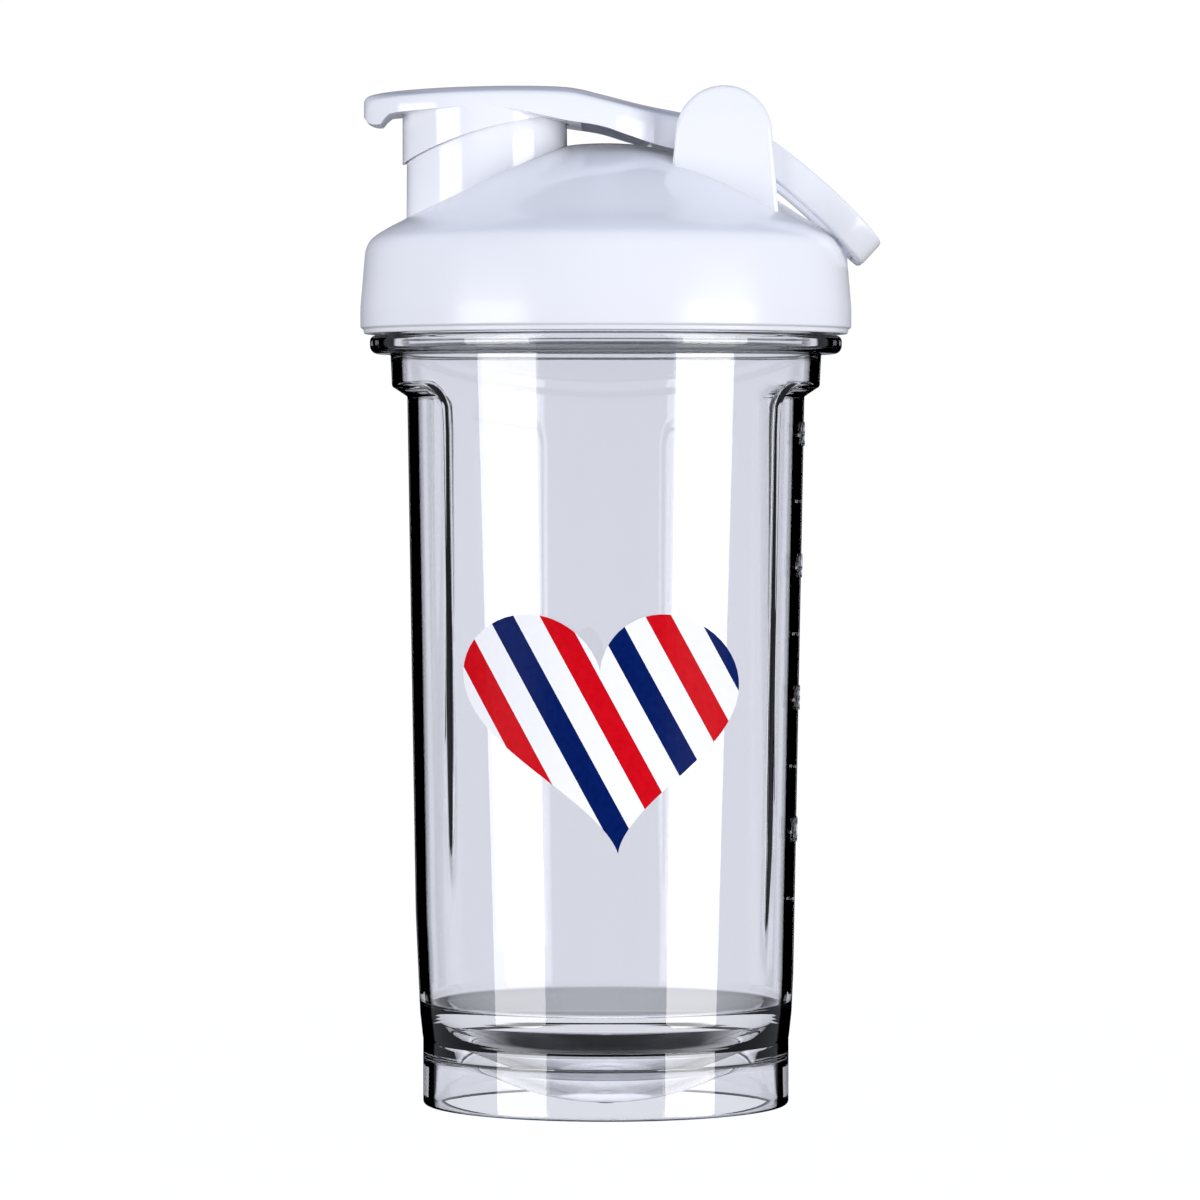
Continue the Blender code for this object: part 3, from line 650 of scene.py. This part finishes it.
def make_cup(finish):
    profile = []
    outline = cup_profile()
    for a, b in zip(outline, outline[1:]):
        low, high = min(a[1], b[1]), max(a[1], b[1])
        longest = 5.0
        if low > THREAD_LOW_Z and high < THREAD_HIGH_Z and a[0] > MOUTH_RADIUS + 1.9:
            longest = 0.35  # the neck's outside carries the thread
        elif low > GRIP_TOP_Z - 9 and high < GRIP_TOP_Z + 3:
            longest = 0.5
        profile += finer([a, b], longest)[:-1]
    profile.append(outline[-1])
    rim = next(index for index, (r, z) in enumerate(profile) if z > RIM_Z - 0.01)
    thread_rise = CUP_CREST_RADIUS - NECK_RADIUS

    def place(r, z, angle, index):
        angle = grip_column(angle, z)
        outer = index < rim
        if outer and z > BEAD_TOP_Z + 0.6:
            return r + thread_rise * thread_height(z, angle, THREAD_FOOT_Z), angle
        if r < BOWL_OUTER_REACH or not GRIP_FOOT_RIGHT_Z < z < GRIP_TOP_Z + 3:
            return r, angle
        return r - grip_inset(z, angle, 0.0 if outer else GRIP_INNER_WIDER), angle

    cup = turned("cup_shell", profile, cup_columns(), place=place, sharp=60)
    return finish_piece(cup, "cup", "clear_plastic", finish, "cup")


# ---- lid


def collar_line():
    """The collar's outside from its foot to the start of the shoulder."""
    return filleted([
        (COLLAR_BORE_RADIUS + 0.8, LID_FOOT_Z), (49.5, LID_FOOT_Z, 0.35), (49.65, LID_FOOT_Z + 0.9, 0.3),
        (50.25, LID_FOOT_Z + 1.3, 0.5), (50.25, 163.0, 20.0), (49.3, 174.0),
    ])


def dome_line():
    return curve([(49.3, 174.0), (48.85, 175.7), (47.6, 177.4), (44.5, 179.4), (40.7, 181.4), (35.2, 184.9),
                  (29.4, 188.5), (24.1, 191.2), (18.0, 193.5), (12.5, 195.1), (7.8, 196.2), (3.5, 196.6),
                  (0.0, 196.7)], 4)


def dome_height(r):
    return ramp(r, sorted(dome_line()))


def lid_cavity():
    """Cutter for the lid's inside, with the thread standing proud of its bore."""
    roof = [(r, dome_height(r) - DOME_WALL) for r in (36.0, 30.0, 24.0, 18.0, 12.0, 6.0)]
    profile = filleted([
        (0.0, LID_FOOT_Z - 5), (COLLAR_BORE_RADIUS + 0.8, LID_FOOT_Z - 5),
        (COLLAR_BORE_RADIUS + 0.8, LID_FOOT_Z + 0.5, 0.3), (COLLAR_BORE_RADIUS, LID_FOOT_Z + 1.3, 0.3),
        (COLLAR_BORE_RADIUS, 174.0, 0.5), (SEAT_RADIUS, SEAT_Z, 0.3), (LIP_OUTER_RADIUS, SEAT_Z, 0.2),
        (LIP_OUTER_RADIUS - 0.2, LIP_FOOT_Z, 0.4), (LIP_INNER_RADIUS, LIP_FOOT_Z, 0.4),
        (LIP_INNER_RADIUS - 0.3, dome_height(LIP_INNER_RADIUS) - DOME_WALL, 1.0), *roof,
        (0.0, dome_height(0.0) - DOME_WALL),
    ], 4)
    fine = []
    for a, b in zip(profile, profile[1:]):
        bore = a[0] > LID_CREST_RADIUS and LID_FOOT_Z < a[1] < 174
        fine += finer([a, b], 0.4 if bore else 6.0)[:-1]
    fine.append(profile[-1])

    thread_rise = COLLAR_BORE_RADIUS - LID_CREST_RADIUS

    def place(r, z, angle, index):
        if r < COLLAR_BORE_RADIUS - 0.01 or not 158.5 < z < 170:
            return r, angle
        return r - thread_rise * thread_height(z, angle, THREAD_FOOT_Z - LID_THREAD_DROP), angle

    return turned("lid_cavity", fine, LID_SEGMENTS, place=place, phase=0.5)


def ear(name, side):
    """An ear with softly rounded outer edges, as layers of one outline drawn in step by step."""
    outline = [(PIVOT.x + EAR_RADIUS * math.cos(a), PIVOT.z + EAR_RADIUS * math.sin(a))
               for a in (math.pi * step / 36 for step in range(37))]
    outline += EAR_FOOT
    centre = Vector((PIVOT.x, PIVOT.z - 4))
    layers = [(0.0, EAR_INNER_Y)]
    for step in range(7):
        angle = math.pi / 2 * step / 6
        inset, back = EAR_ROUND * (1 - math.cos(angle)), EAR_ROUND * (1 - math.sin(angle))
        layers.append((inset, EAR_OUTER_Y - back))
    rings = []
    for inset, y in layers:
        ring = []
        for index, (x, z) in enumerate(outline):
            before, after = Vector(outline[index - 1]), Vector(outline[(index + 1) % len(outline)])
            along = (after - before).normalized()
            inward = Vector((-along.y, along.x))
            if inward.dot(centre - Vector((x, z))) < 0:
                inward = -inward
            moved = Vector((x, z)) + inward * (inset if z > EAR_FOOT_Z else 0.0)
            ring.append((moved.x, side * y, moved.y))
        rings.append(ring)
    return lofted(name, rings)


def make_lid(finish):
    outside = [(0.0, LID_FOOT_Z), *collar_line()[:-1], *dome_line()]
    lid = turned("lid_shell", outside, LID_SEGMENTS, sharp=40)
    spout = turned("spout_tube", filleted([
        (0.0, 172.0), (SPOUT_FOOT_RADIUS, 172.0), (SPOUT_FOOT_RADIUS, 182.0),
        (SPOUT_TOP_RADIUS, SPOUT_TOP_Z, 0.7), (0.0, SPOUT_TOP_Z)]), SPOUT_SEGMENTS, SPOUT_X)
    bore = turned("spout_bore", filleted([
        (0.0, 165.0), (BORE_RADIUS, 165.0), (BORE_RADIUS, SPOUT_TOP_Z - 0.8, 0.6),
        (BORE_RADIUS + 0.9, SPOUT_TOP_Z + 0.6), (0.0, SPOUT_TOP_Z + 0.6)]),
        SPOUT_SEGMENTS, SPOUT_X, phase=0.5)
    hole = bar("pin_hole", PIVOT.x, PIVOT.z, PIN_HOLE_RADIUS, PIN_LOW.y - 0.2, 24.0, 32)
    combined(lid, [("UNION", spout), ("UNION", ear("ear_front", -1)), ("UNION", ear("ear_back", 1)),
                   ("DIFFERENCE", lid_cavity()), ("DIFFERENCE", bore), ("DIFFERENCE", hole)], 32)
    return finish_piece(lid, "lid", "white_plastic", finish, "lid")


def make_gasket(finish):
    inner, outer = GASKET_BORE_RADIUS, GASKET_HIGH.x
    middle = (inner + outer) / 2
    ring = filleted([(middle, GASKET_LOW.z), (outer, GASKET_LOW.z, 0.5), (outer, GASKET_HIGH.z, 0.5),
                     (inner, GASKET_HIGH.z, 0.5), (inner, GASKET_LOW.z, 0.5), (middle, GASKET_LOW.z)])
    gasket = turned("gasket_ring", ring[:-1], LID_SEGMENTS, closed=True)
    return finish_piece(gasket, "gasket", "silicone", finish, "lid_gasket")


# ---- flip cap

CROWN_LINE = curve([(-49.5, 205.3), (-48.5, 206.3), (-45.8, 206.95), (-41.0, 207.5), (-32.0, 208.05),
                    (-20.0, 208.35), (-10.0, 208.2), (-5.5, 207.7), (-1.0, 206.6), (6.6, 204.7), (14.5, 203.1),
                    (20.5, 202.0)], 6)
ARM_FOOT_LINE = curve([(-49.5, 202.0), (-48.6, 200.8), (-47.2, 200.2), (-45.4, 200.4), (-44.6, 201.8),
                       (-42.0, 202.5), (-28.5, 203.4), (-21.3, 203.2), (-14.8, 202.1), (-8.6, 200.7),
                       (-1.2, 199.5), (4.2, 197.8), (12.4, 195.3), (20.5, 193.9)], 6)


def arm_half_width(x):
    """Half the arm's width: a rounded nose, full width over the spout and a waist at the hinge."""
    if x < NOSE_CENTRE_X:
        share = (x - NOSE_CENTRE_X) / (NOSE_X - NOSE_CENTRE_X)
        return ARM_HALF_WIDTH * math.sqrt(max(0.0, 1 - share**2))
    return ARM_HALF_WIDTH + (KNUCKLE_HALF_WIDTH - ARM_HALF_WIDTH) * smooth(x / 12)


def arm_block(name, stations, inset, drop, foot, edge):
    """A solid from the arm's crowned top, lowered by drop and drawn in by inset, down to foot(x)."""
    rings = []
    for x in stations:
        half = arm_half_width(x) - inset
        flat = max(0.02, half - edge)
        edge_here = half - flat
        across = [flat * step / 12 for step in range(-12, 13)]
        corner = [edge_here * math.sin(math.pi / 2 * step / 5) for step in range(1, 6)]
        sides = [-flat - c for c in reversed(corner)] + across + [flat + c for c in corner]
        ring = []
        for y in sides:
            past = max(0.0, abs(y) - flat) / max(edge_here, 1e-6)
            fall = min(edge, edge_here) * (1 - math.sqrt(max(0.0, 1 - past**2)))
            ring.append((x, y, ramp(x, CROWN_LINE) - CROWN_RISE * abs(y / half) ** 2.2 - drop - fall))
        low = foot(x)
        ring += [(x, half * share, low) for share in (1.0, 0.6, 0.2, -0.2, -0.6, -1.0)]
        rings.append(ring)
    return lofted(name, rings)


def sleeve_trim():
    """Cutter that leaves the sleeve's lower edge as a shallow arch between its front and its back."""
    front, back = Vector(SLEEVE_FRONT), Vector(SLEEVE_BACK)
    chord = back - front
    drop = math.sqrt(SLEEVE_EDGE_RADIUS**2 - (chord.length / 2) ** 2)
    centre = (front + back) / 2 + Vector((chord.y, -chord.x)).normalized() * drop
    return bar("sleeve_trim", centre.x, centre.y, SLEEVE_EDGE_RADIUS, -30, 30, 720)


def make_flip_cap(finish):
    nose = NOSE_X + 0.03 - NOSE_CENTRE_X
    stations = [NOSE_CENTRE_X + nose * math.sin(math.pi / 2 * step / 26) for step in range(26, -1, -1)]
    stations += [NOSE_CENTRE_X + (ARM_END_X - NOSE_CENTRE_X) * step / 40 for step in range(1, 41)]
    cap = arm_block("flip_cap_body", stations, 0.0, 0.0, lambda x: ramp(x, ARM_FOOT_LINE), ARM_EDGE_ROUND)
    pocket_x = [POCKET_START_X + (POCKET_END_X - POCKET_START_X) * step / 16 for step in range(17)]
    pocket = arm_block("cap_pocket", pocket_x, ARM_SKIN, ARM_SKIN, lambda x: 185.0, 0.8)
    sleeve = turned("cap_sleeve", [
        (0.0, 188.0), (SLEEVE_RADIUS, 188.0), (SLEEVE_RADIUS, SLEEVE_ROOF_Z), (0.0, SLEEVE_ROOF_Z),
    ], SPOUT_SEGMENTS, SPOUT_X)
    combined(sleeve, [("DIFFERENCE", sleeve_trim())])
    hollow = turned("cap_hollow", filleted([
        (0.0, 187.0), (SLEEVE_BORE_RADIUS, 187.0), (SLEEVE_BORE_RADIUS, SLEEVE_ROOF_Z, 0.6),
        (0.0, SLEEVE_ROOF_Z)]), SPOUT_SEGMENTS, SPOUT_X, phase=0.5)
    stud = turned("cap_stud", filleted([
        (0.0, 201.0), (3.0, 201.0, 0.7), (3.0, SLEEVE_ROOF_Z + 1), (0.0, SLEEVE_ROOF_Z + 1)]), 48, SPOUT_X)
    knuckle = bar("cap_knuckle", PIVOT.x, PIVOT.z, KNUCKLE_RADIUS, -KNUCKLE_HALF_WIDTH,
                  KNUCKLE_HALF_WIDTH, 72)
    hole = bar("cap_pin_hole", PIVOT.x, PIVOT.z, PIN_HOLE_RADIUS, -20, 20, 32)
    combined(cap, [("DIFFERENCE", pocket), ("UNION", sleeve), ("DIFFERENCE", hollow), ("UNION", stud),
                   ("UNION", knuckle), ("DIFFERENCE", hole)], 32)
    return finish_piece(cap, "flip_cap", "white_plastic", finish, "flip_cap")


def make_spout_seal(finish):
    """The soft plug: a flange over the spout's rim and a hollow, tapered skirt that goes inside."""
    top, foot, reach = SEAL_HIGH.z, SEAL_LOW.z, SEAL_HIGH.x - SPOUT_X
    flange_foot = top - 1.1
    ring = filleted([
        (3.3, flange_foot - 0.3), (10.8, flange_foot - 0.3, 0.6), (10.4, foot, 0.3), (12.4, foot, 0.3),
        (13.2, foot + 1.6, 0.6), (13.2, flange_foot, 0.3), (reach, flange_foot, 0.3),
        (reach, top, 0.3), (3.3, top),
    ])
    seal = turned("spout_plug", ring, SPOUT_SEGMENTS, SPOUT_X, closed=True)
    return finish_piece(seal, "flip_cap", "silicone", finish, "spout_seal")


# ---- carry loop and pin


def loop_path():
    """Centre line of the strap in its own plane, as (u, v) points from one eye to the other."""
    mid_v, end = LOOP_OUTER_V - LOOP_BAND / 2, LOOP_LENGTH - LOOP_BAND / 2
    corner = LOOP_CORNER - LOOP_BAND / 2
    eye = [0.02 - LOOP_EYE_RADIUS * math.cos(math.pi * step / 20) for step in range(11)]
    arm = eye + [1.0 + step for step in range(int(end - corner) - 1)]
    front = [(u, -mid_v) for u in arm]
    for step in range(15):
        angle = math.pi / 2 * step / 14
        front.append((end - corner + corner * math.sin(angle), -mid_v + corner * (1 - math.cos(angle))))
    return front + [(u, -v) for u, v in reversed(front)]


def loop_half_depth(u):
    """Half the strap's depth: round at the eye and even along the arm."""
    round_part = math.sqrt(max(0.0004, LOOP_EYE_RADIUS**2 - u**2)) if u < LOOP_EYE_RADIUS else 0.0
    if u < 0:
        return round_part
    blend = smooth(u / 7.0)
    return (1 - blend) * LOOP_EYE_RADIUS * math.cos(min(1.0, u / 12)) + blend * LOOP_DEPTH / 2


def loop_arch(u):
    rise = 3.54 - 0.00407 * (u - 23.3) ** 2
    return rise * smooth((u + 1.0) / 9.0)


def make_carry_loop(finish):
    path = loop_path()
    rings = []
    for index, (u, v) in enumerate(path):
        before, after = path[max(index - 1, 0)], path[min(index + 1, len(path) - 1)]
        along = (Vector(after) - Vector(before)).normalized()
        outward = Vector((along.y, -along.x))
        half = loop_half_depth(u)
        corner = min(LOOP_ROUND, half * 0.9)
        section = filleted([(0.0, half)] + [
            (LOOP_BAND / 2, half, corner), (LOOP_BAND / 2, -half, corner), (-LOOP_BAND / 2, -half, corner),
            (-LOOP_BAND / 2, half, corner)] + [(0.0, half)], 4)[:-1]
        rings.append([(u + outward.x * n, v + outward.y * n, loop_arch(u) + w) for n, w in section])
    loop = lofted("carry_loop_strap", rings)
    loop.data.transform(Matrix.Translation(PIVOT * MM) @ Matrix.Rotation(-LOOP_REST, 4, "Y"))
    hole = bar("loop_pin_hole", PIVOT.x, PIVOT.z, PIN_HOLE_RADIUS, -22, 22, 32)
    combined(loop, [("DIFFERENCE", hole)], 32)
    return finish_piece(loop, "carry_loop", "white_plastic", finish, "carry_loop")


def make_pin(finish):
    pin = bar("hinge_pin_rod", PIVOT.x, PIVOT.z, PIN_HIGH.x - PIVOT.x, PIN_LOW.y, PIN_HIGH.y, 48)
    return finish_piece(pin, "lid", "steel", finish, "hinge_pin")


# ---- print and volume marks


def heart_point(turn):
    """A plain heart, 1 wide and 1 tall, with its tip moved a little to the right."""
    x = 16 * math.sin(turn) ** 3
    z = 13 * math.cos(turn) - 5 * math.cos(2 * turn) - 2 * math.cos(3 * turn) - math.cos(4 * turn)
    share = (z + 17) / 29
    return x / 32 + 0.085 * (0.6 - share), share - 0.5


def front_depth(x, z, lift):
    """Y of the cup's front surface, stood off by lift."""
    reach = body_radius(z) + lift
    return -math.sqrt(reach**2 - x**2)


def riding_sheet(name, mesh, finishes, thickness):
    """A flat mesh in metres made into a thin piece of this thickness that goes with the cup."""
    data = bpy.data.meshes.new(name)
    mesh.to_mesh(data)
    mesh.free()
    for finish in finishes:
        data.materials.append(finish)
    obj = bpy.data.objects.new(name, data)
    bpy.context.scene.collection.objects.link(obj)
    solid = obj.modifiers.new("thickness", "SOLIDIFY")
    solid.thickness = thickness * MM
    solid.offset = 1.0
    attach(obj, "cup")


def cut(mesh, x, z, direction):
    """Cuts the flat mesh along the line through (x, z) in this direction, in degrees from +X."""
    angle = math.radians(direction)
    bmesh.ops.bisect_plane(mesh, geom=mesh.verts[:] + mesh.edges[:] + mesh.faces[:], dist=1e-4,
                           plane_co=(x, 0, z), plane_no=(-math.sin(angle), 0, math.cos(angle)))


def side_of(x, z, direction, point):
    """How far a point lies from a line, positive on its left."""
    angle = math.radians(direction)
    return (point.z - z) * math.cos(angle) - (point.x - x) * math.sin(angle)


def make_print(red, white, navy):
    """A plain heart of slanted bands in three colours."""
    heart = bmesh.new()
    middle_x, middle_z = PRINT_CENTRE
    points = [heart_point(math.tau * step / HEART_POINTS) for step in range(HEART_POINTS)]
    heart.faces.new([
        heart.verts.new((middle_x + x * PRINT_SIZE[0], 0, middle_z + z * PRINT_SIZE[1])) for x, z in points])
    tilt = math.radians(BAND_TILT)
    for number in range(-9, 10):
        slide = BAND_WIDTH * number
        cut(heart, middle_x - slide * math.sin(tilt), middle_z + slide * math.cos(tilt), BAND_TILT)
    for column in range(-14, 15):
        # narrow upright strips, so that the flat sheet follows the cup's curve
        cut(heart, column * STRIP_WIDTH + STRIP_SHIFT, 0.0, 90.0)
    for face in heart.faces:
        across = side_of(*PRINT_CENTRE, BAND_TILT, face.calc_center_median())
        face.material_index = BAND_COLOURS[math.floor(across / BAND_WIDTH) % len(BAND_COLOURS)]
    for vert in heart.verts:
        vert.co.y = front_depth(vert.co.x, vert.co.z, PRINT_LIFT)
    for face in heart.faces:
        face.normal_update()
        if face.normal.y > 0:
            face.normal_flip()
    bmesh.ops.scale(heart, verts=heart.verts, vec=(MM, MM, MM))
    riding_sheet("cup_print", heart, (red, white, navy), PRINT_THICKNESS)


def on_grip(u, v, lift):
    """A point on the right grip, u mm to the back of its middle and v mm up, stood off by lift."""
    angle = GRIP_TURN + u / body_radius(v)
    reach = body_radius(v) - grip_inset(v, angle, 0.0) + lift
    return Vector((reach * math.cos(angle), reach * math.sin(angle), v)) * MM


def numeral(text, size):
    """A flat mesh of the number in the plain built-in typeface, in millimetres about its middle."""
    data = bpy.data.curves.new(text, "FONT")
    data.body = text
    data.size = size
    data.align_x, data.align_y = "CENTER", "CENTER"
    data.resolution_u = 4
    source = bpy.data.objects.new(text, data)
    mesh = bmesh.new()
    mesh.from_mesh(source.to_mesh())
    source.to_mesh_clear()
    bpy.data.objects.remove(source)
    bpy.data.curves.remove(data)
    return mesh


def make_marks(finish):
    """The moulded volume scale on the right grip: plain numbers and ticks."""
    marks = bmesh.new()
    for number, z in enumerate(MARK_HEIGHTS):
        figures = numeral(str(MARK_FIRST + MARK_STEP * number), MARK_SIZE)
        for face in figures.faces:
            places = [on_grip(vert.co.x, z + vert.co.y, MARK_LIFT) for vert in face.verts]
            marks.faces.new([marks.verts.new(place) for place in places])
        figures.free()
    spacing = (MARK_HEIGHTS[-1] - MARK_HEIGHTS[0]) / (len(MARK_HEIGHTS) - 1)
    for step in range(-1, 2 * len(MARK_HEIGHTS) - 1):
        z = MARK_HEIGHTS[0] + spacing * step / 2
        end = TICK_START + TICK_LENGTHS[step % 2]
        low, high = z - TICK_HALF, z + TICK_HALF
        corners = ((TICK_START, low), (end, low), (end, high), (TICK_START, high))
        marks.faces.new([marks.verts.new(on_grip(u, v, MARK_LIFT)) for u, v in corners])
    bmesh.ops.remove_doubles(marks, verts=marks.verts, dist=1e-7)
    bmesh.ops.recalc_face_normals(marks, faces=marks.faces)
    for face in marks.faces:
        if face.normal.x < 0:
            face.normal_flip()
    riding_sheet("volume_marks", marks, (finish,), MARK_THICKNESS)


# ---- studio


def background(tree, colour, strength):
    node = tree.nodes.new("ShaderNodeBackground")
    node.inputs["Color"].default_value = (*colour, 1.0)
    if isinstance(strength, (int, float)):
        node.inputs["Strength"].default_value = strength
    else:
        tree.links.new(strength, node.inputs["Strength"])
    return node.outputs["Background"]


def world():
    """White where the camera looks straight at it, pale behind clear plastic and dimmer in reflections."""
    made = bpy.data.worlds.new("studio")
    bpy.context.scene.world = made
    made.use_nodes = True
    tree = made.node_tree
    path = tree.nodes.new("ShaderNodeLightPath")
    # light that has crossed one solid stretch, not two walls, finds the wings closer together
    walls = steps(tree, path.outputs["Transmission Depth"], *TWO_WALLS, WING_START_SOLID, WING_START)
    place = tree.nodes.new("ShaderNodeTexCoord").outputs["Generated"]
    pale, split = wings(tree, place, maths(tree, "RADIANS", walls))
    above = steps(tree, split.outputs["Z"], *SKY_DARKENS, 1.0, DARK_SKY)
    shaped = maths(tree, "MULTIPLY", pale, above)
    # the room behind the photographer is dim, and keeps reflections off the black edges
    front = steps(tree, split.outputs["Y"], *FRONT_FADES, SHINE_GLOW * FRONT_SHARE, SHINE_GLOW)
    sky = steps(tree, split.outputs["Z"], *SKY_BRIGHTENS, FILL_GLOW, TOP_GLOW)
    seen = background(tree, SKY_COLOUR, sky)
    for ray, colour, strength in (
        ("Is Glossy Ray", SHINE_COLOUR, maths(tree, "MULTIPLY", pale, front)),
        ("Is Transmission Ray", THROUGH_COLOUR, maths(tree, "MULTIPLY", shaped, BACK_GLOW)),
        ("Is Camera Ray", (1.0, 1.0, 1.0), CAMERA_GLOW),
    ):
        mix = tree.nodes.new("ShaderNodeMixShader")
        tree.links.new(path.outputs[ray], mix.inputs["Fac"])
        tree.links.new(seen, mix.inputs[1])
        tree.links.new(background(tree, colour, strength), mix.inputs[2])
        seen = mix.outputs["Shader"]
    tree.links.new(seen, tree.nodes["World Output"].inputs["Surface"])


def softbox(name, azimuth, strength):
    """A rectangular light that faces the bottle. Azimuth 0 is the camera's side, 90 is to its right."""
    data = bpy.data.lights.new(name, "AREA")
    data.shape = "RECTANGLE"
    data.size, data.size_y = SOFTBOX_WIDTH, SOFTBOX_HEIGHT
    # an area light of power P shines with a radiance of P / (pi * area)
    data.energy = strength * math.pi * SOFTBOX_WIDTH * SOFTBOX_HEIGHT
    lamp = bpy.data.objects.new(name, data)
    angle = math.radians(azimuth)
    away = Vector((math.sin(angle), -math.cos(angle), 0.0))
    lamp.location = SOFTBOX_AIM + away * SOFTBOX_DISTANCE
    lamp.rotation_mode = "QUATERNION"
    lamp.rotation_quaternion = away.to_track_quat("Z", "Y")
    lamp.visible_camera = False
    bpy.context.scene.collection.objects.link(lamp)


def studio():
    world()
    floor_mesh = bmesh.new()
    bmesh.ops.create_circle(floor_mesh, cap_ends=True, radius=FLOOR_RADIUS * MM, segments=128)
    data = bpy.data.meshes.new("floor")
    floor_mesh.to_mesh(data)
    floor_mesh.free()
    data.materials.append(floor_finish())
    floor = bpy.data.objects.new("floor", data)
    floor.location.z = -FLOOR_DROP * MM
    floor.visible_glossy = False
    bpy.context.scene.collection.objects.link(floor)
    softbox("softbox_left", -54, 5.6)
    softbox("softbox_right", 54, 6.8)


def camera():
    data = bpy.data.cameras.new("camera")
    data.sensor_width = CAMERA_SENSOR
    data.lens = CAMERA_LENS
    data.clip_start, data.clip_end = 0.05, 50.0
    eye = bpy.data.objects.new("camera", data)
    eye.location = CAMERA_PLACE
    look = Vector((0.0, 1.0, -math.tan(math.radians(CAMERA_TILT))))
    eye.rotation_mode = "QUATERNION"
    eye.rotation_quaternion = look.to_track_quat("-Z", "Y")
    bpy.context.scene.collection.objects.link(eye)
    bpy.context.scene.camera = eye


def main():
    bpy.context.scene.view_settings.view_transform = "Standard"
    bpy.context.scene.cycles.sample_clamp_indirect = 2.0
    white = white_plastic()
    soft = silicone()
    clear = clear_plastic()
    make_cup(clear)
    make_lid(white)
    make_gasket(soft)
    make_flip_cap(white)
    make_spout_seal(soft)
    make_carry_loop(white)
    make_pin(ground_steel())
    red = ink("ink_red", (0.62, 0.002, 0.008), (0.68, 0.004, 0.012))
    pale = ink("ink_white", (0.95, 0.95, 0.95), (0.97, 0.97, 0.97))
    navy = ink("ink_navy", (0.001, 0.010, 0.100), (0.002, 0.014, 0.120))
    make_print(red, pale, navy)
    make_marks(clear)
    camera()
    studio()


main()
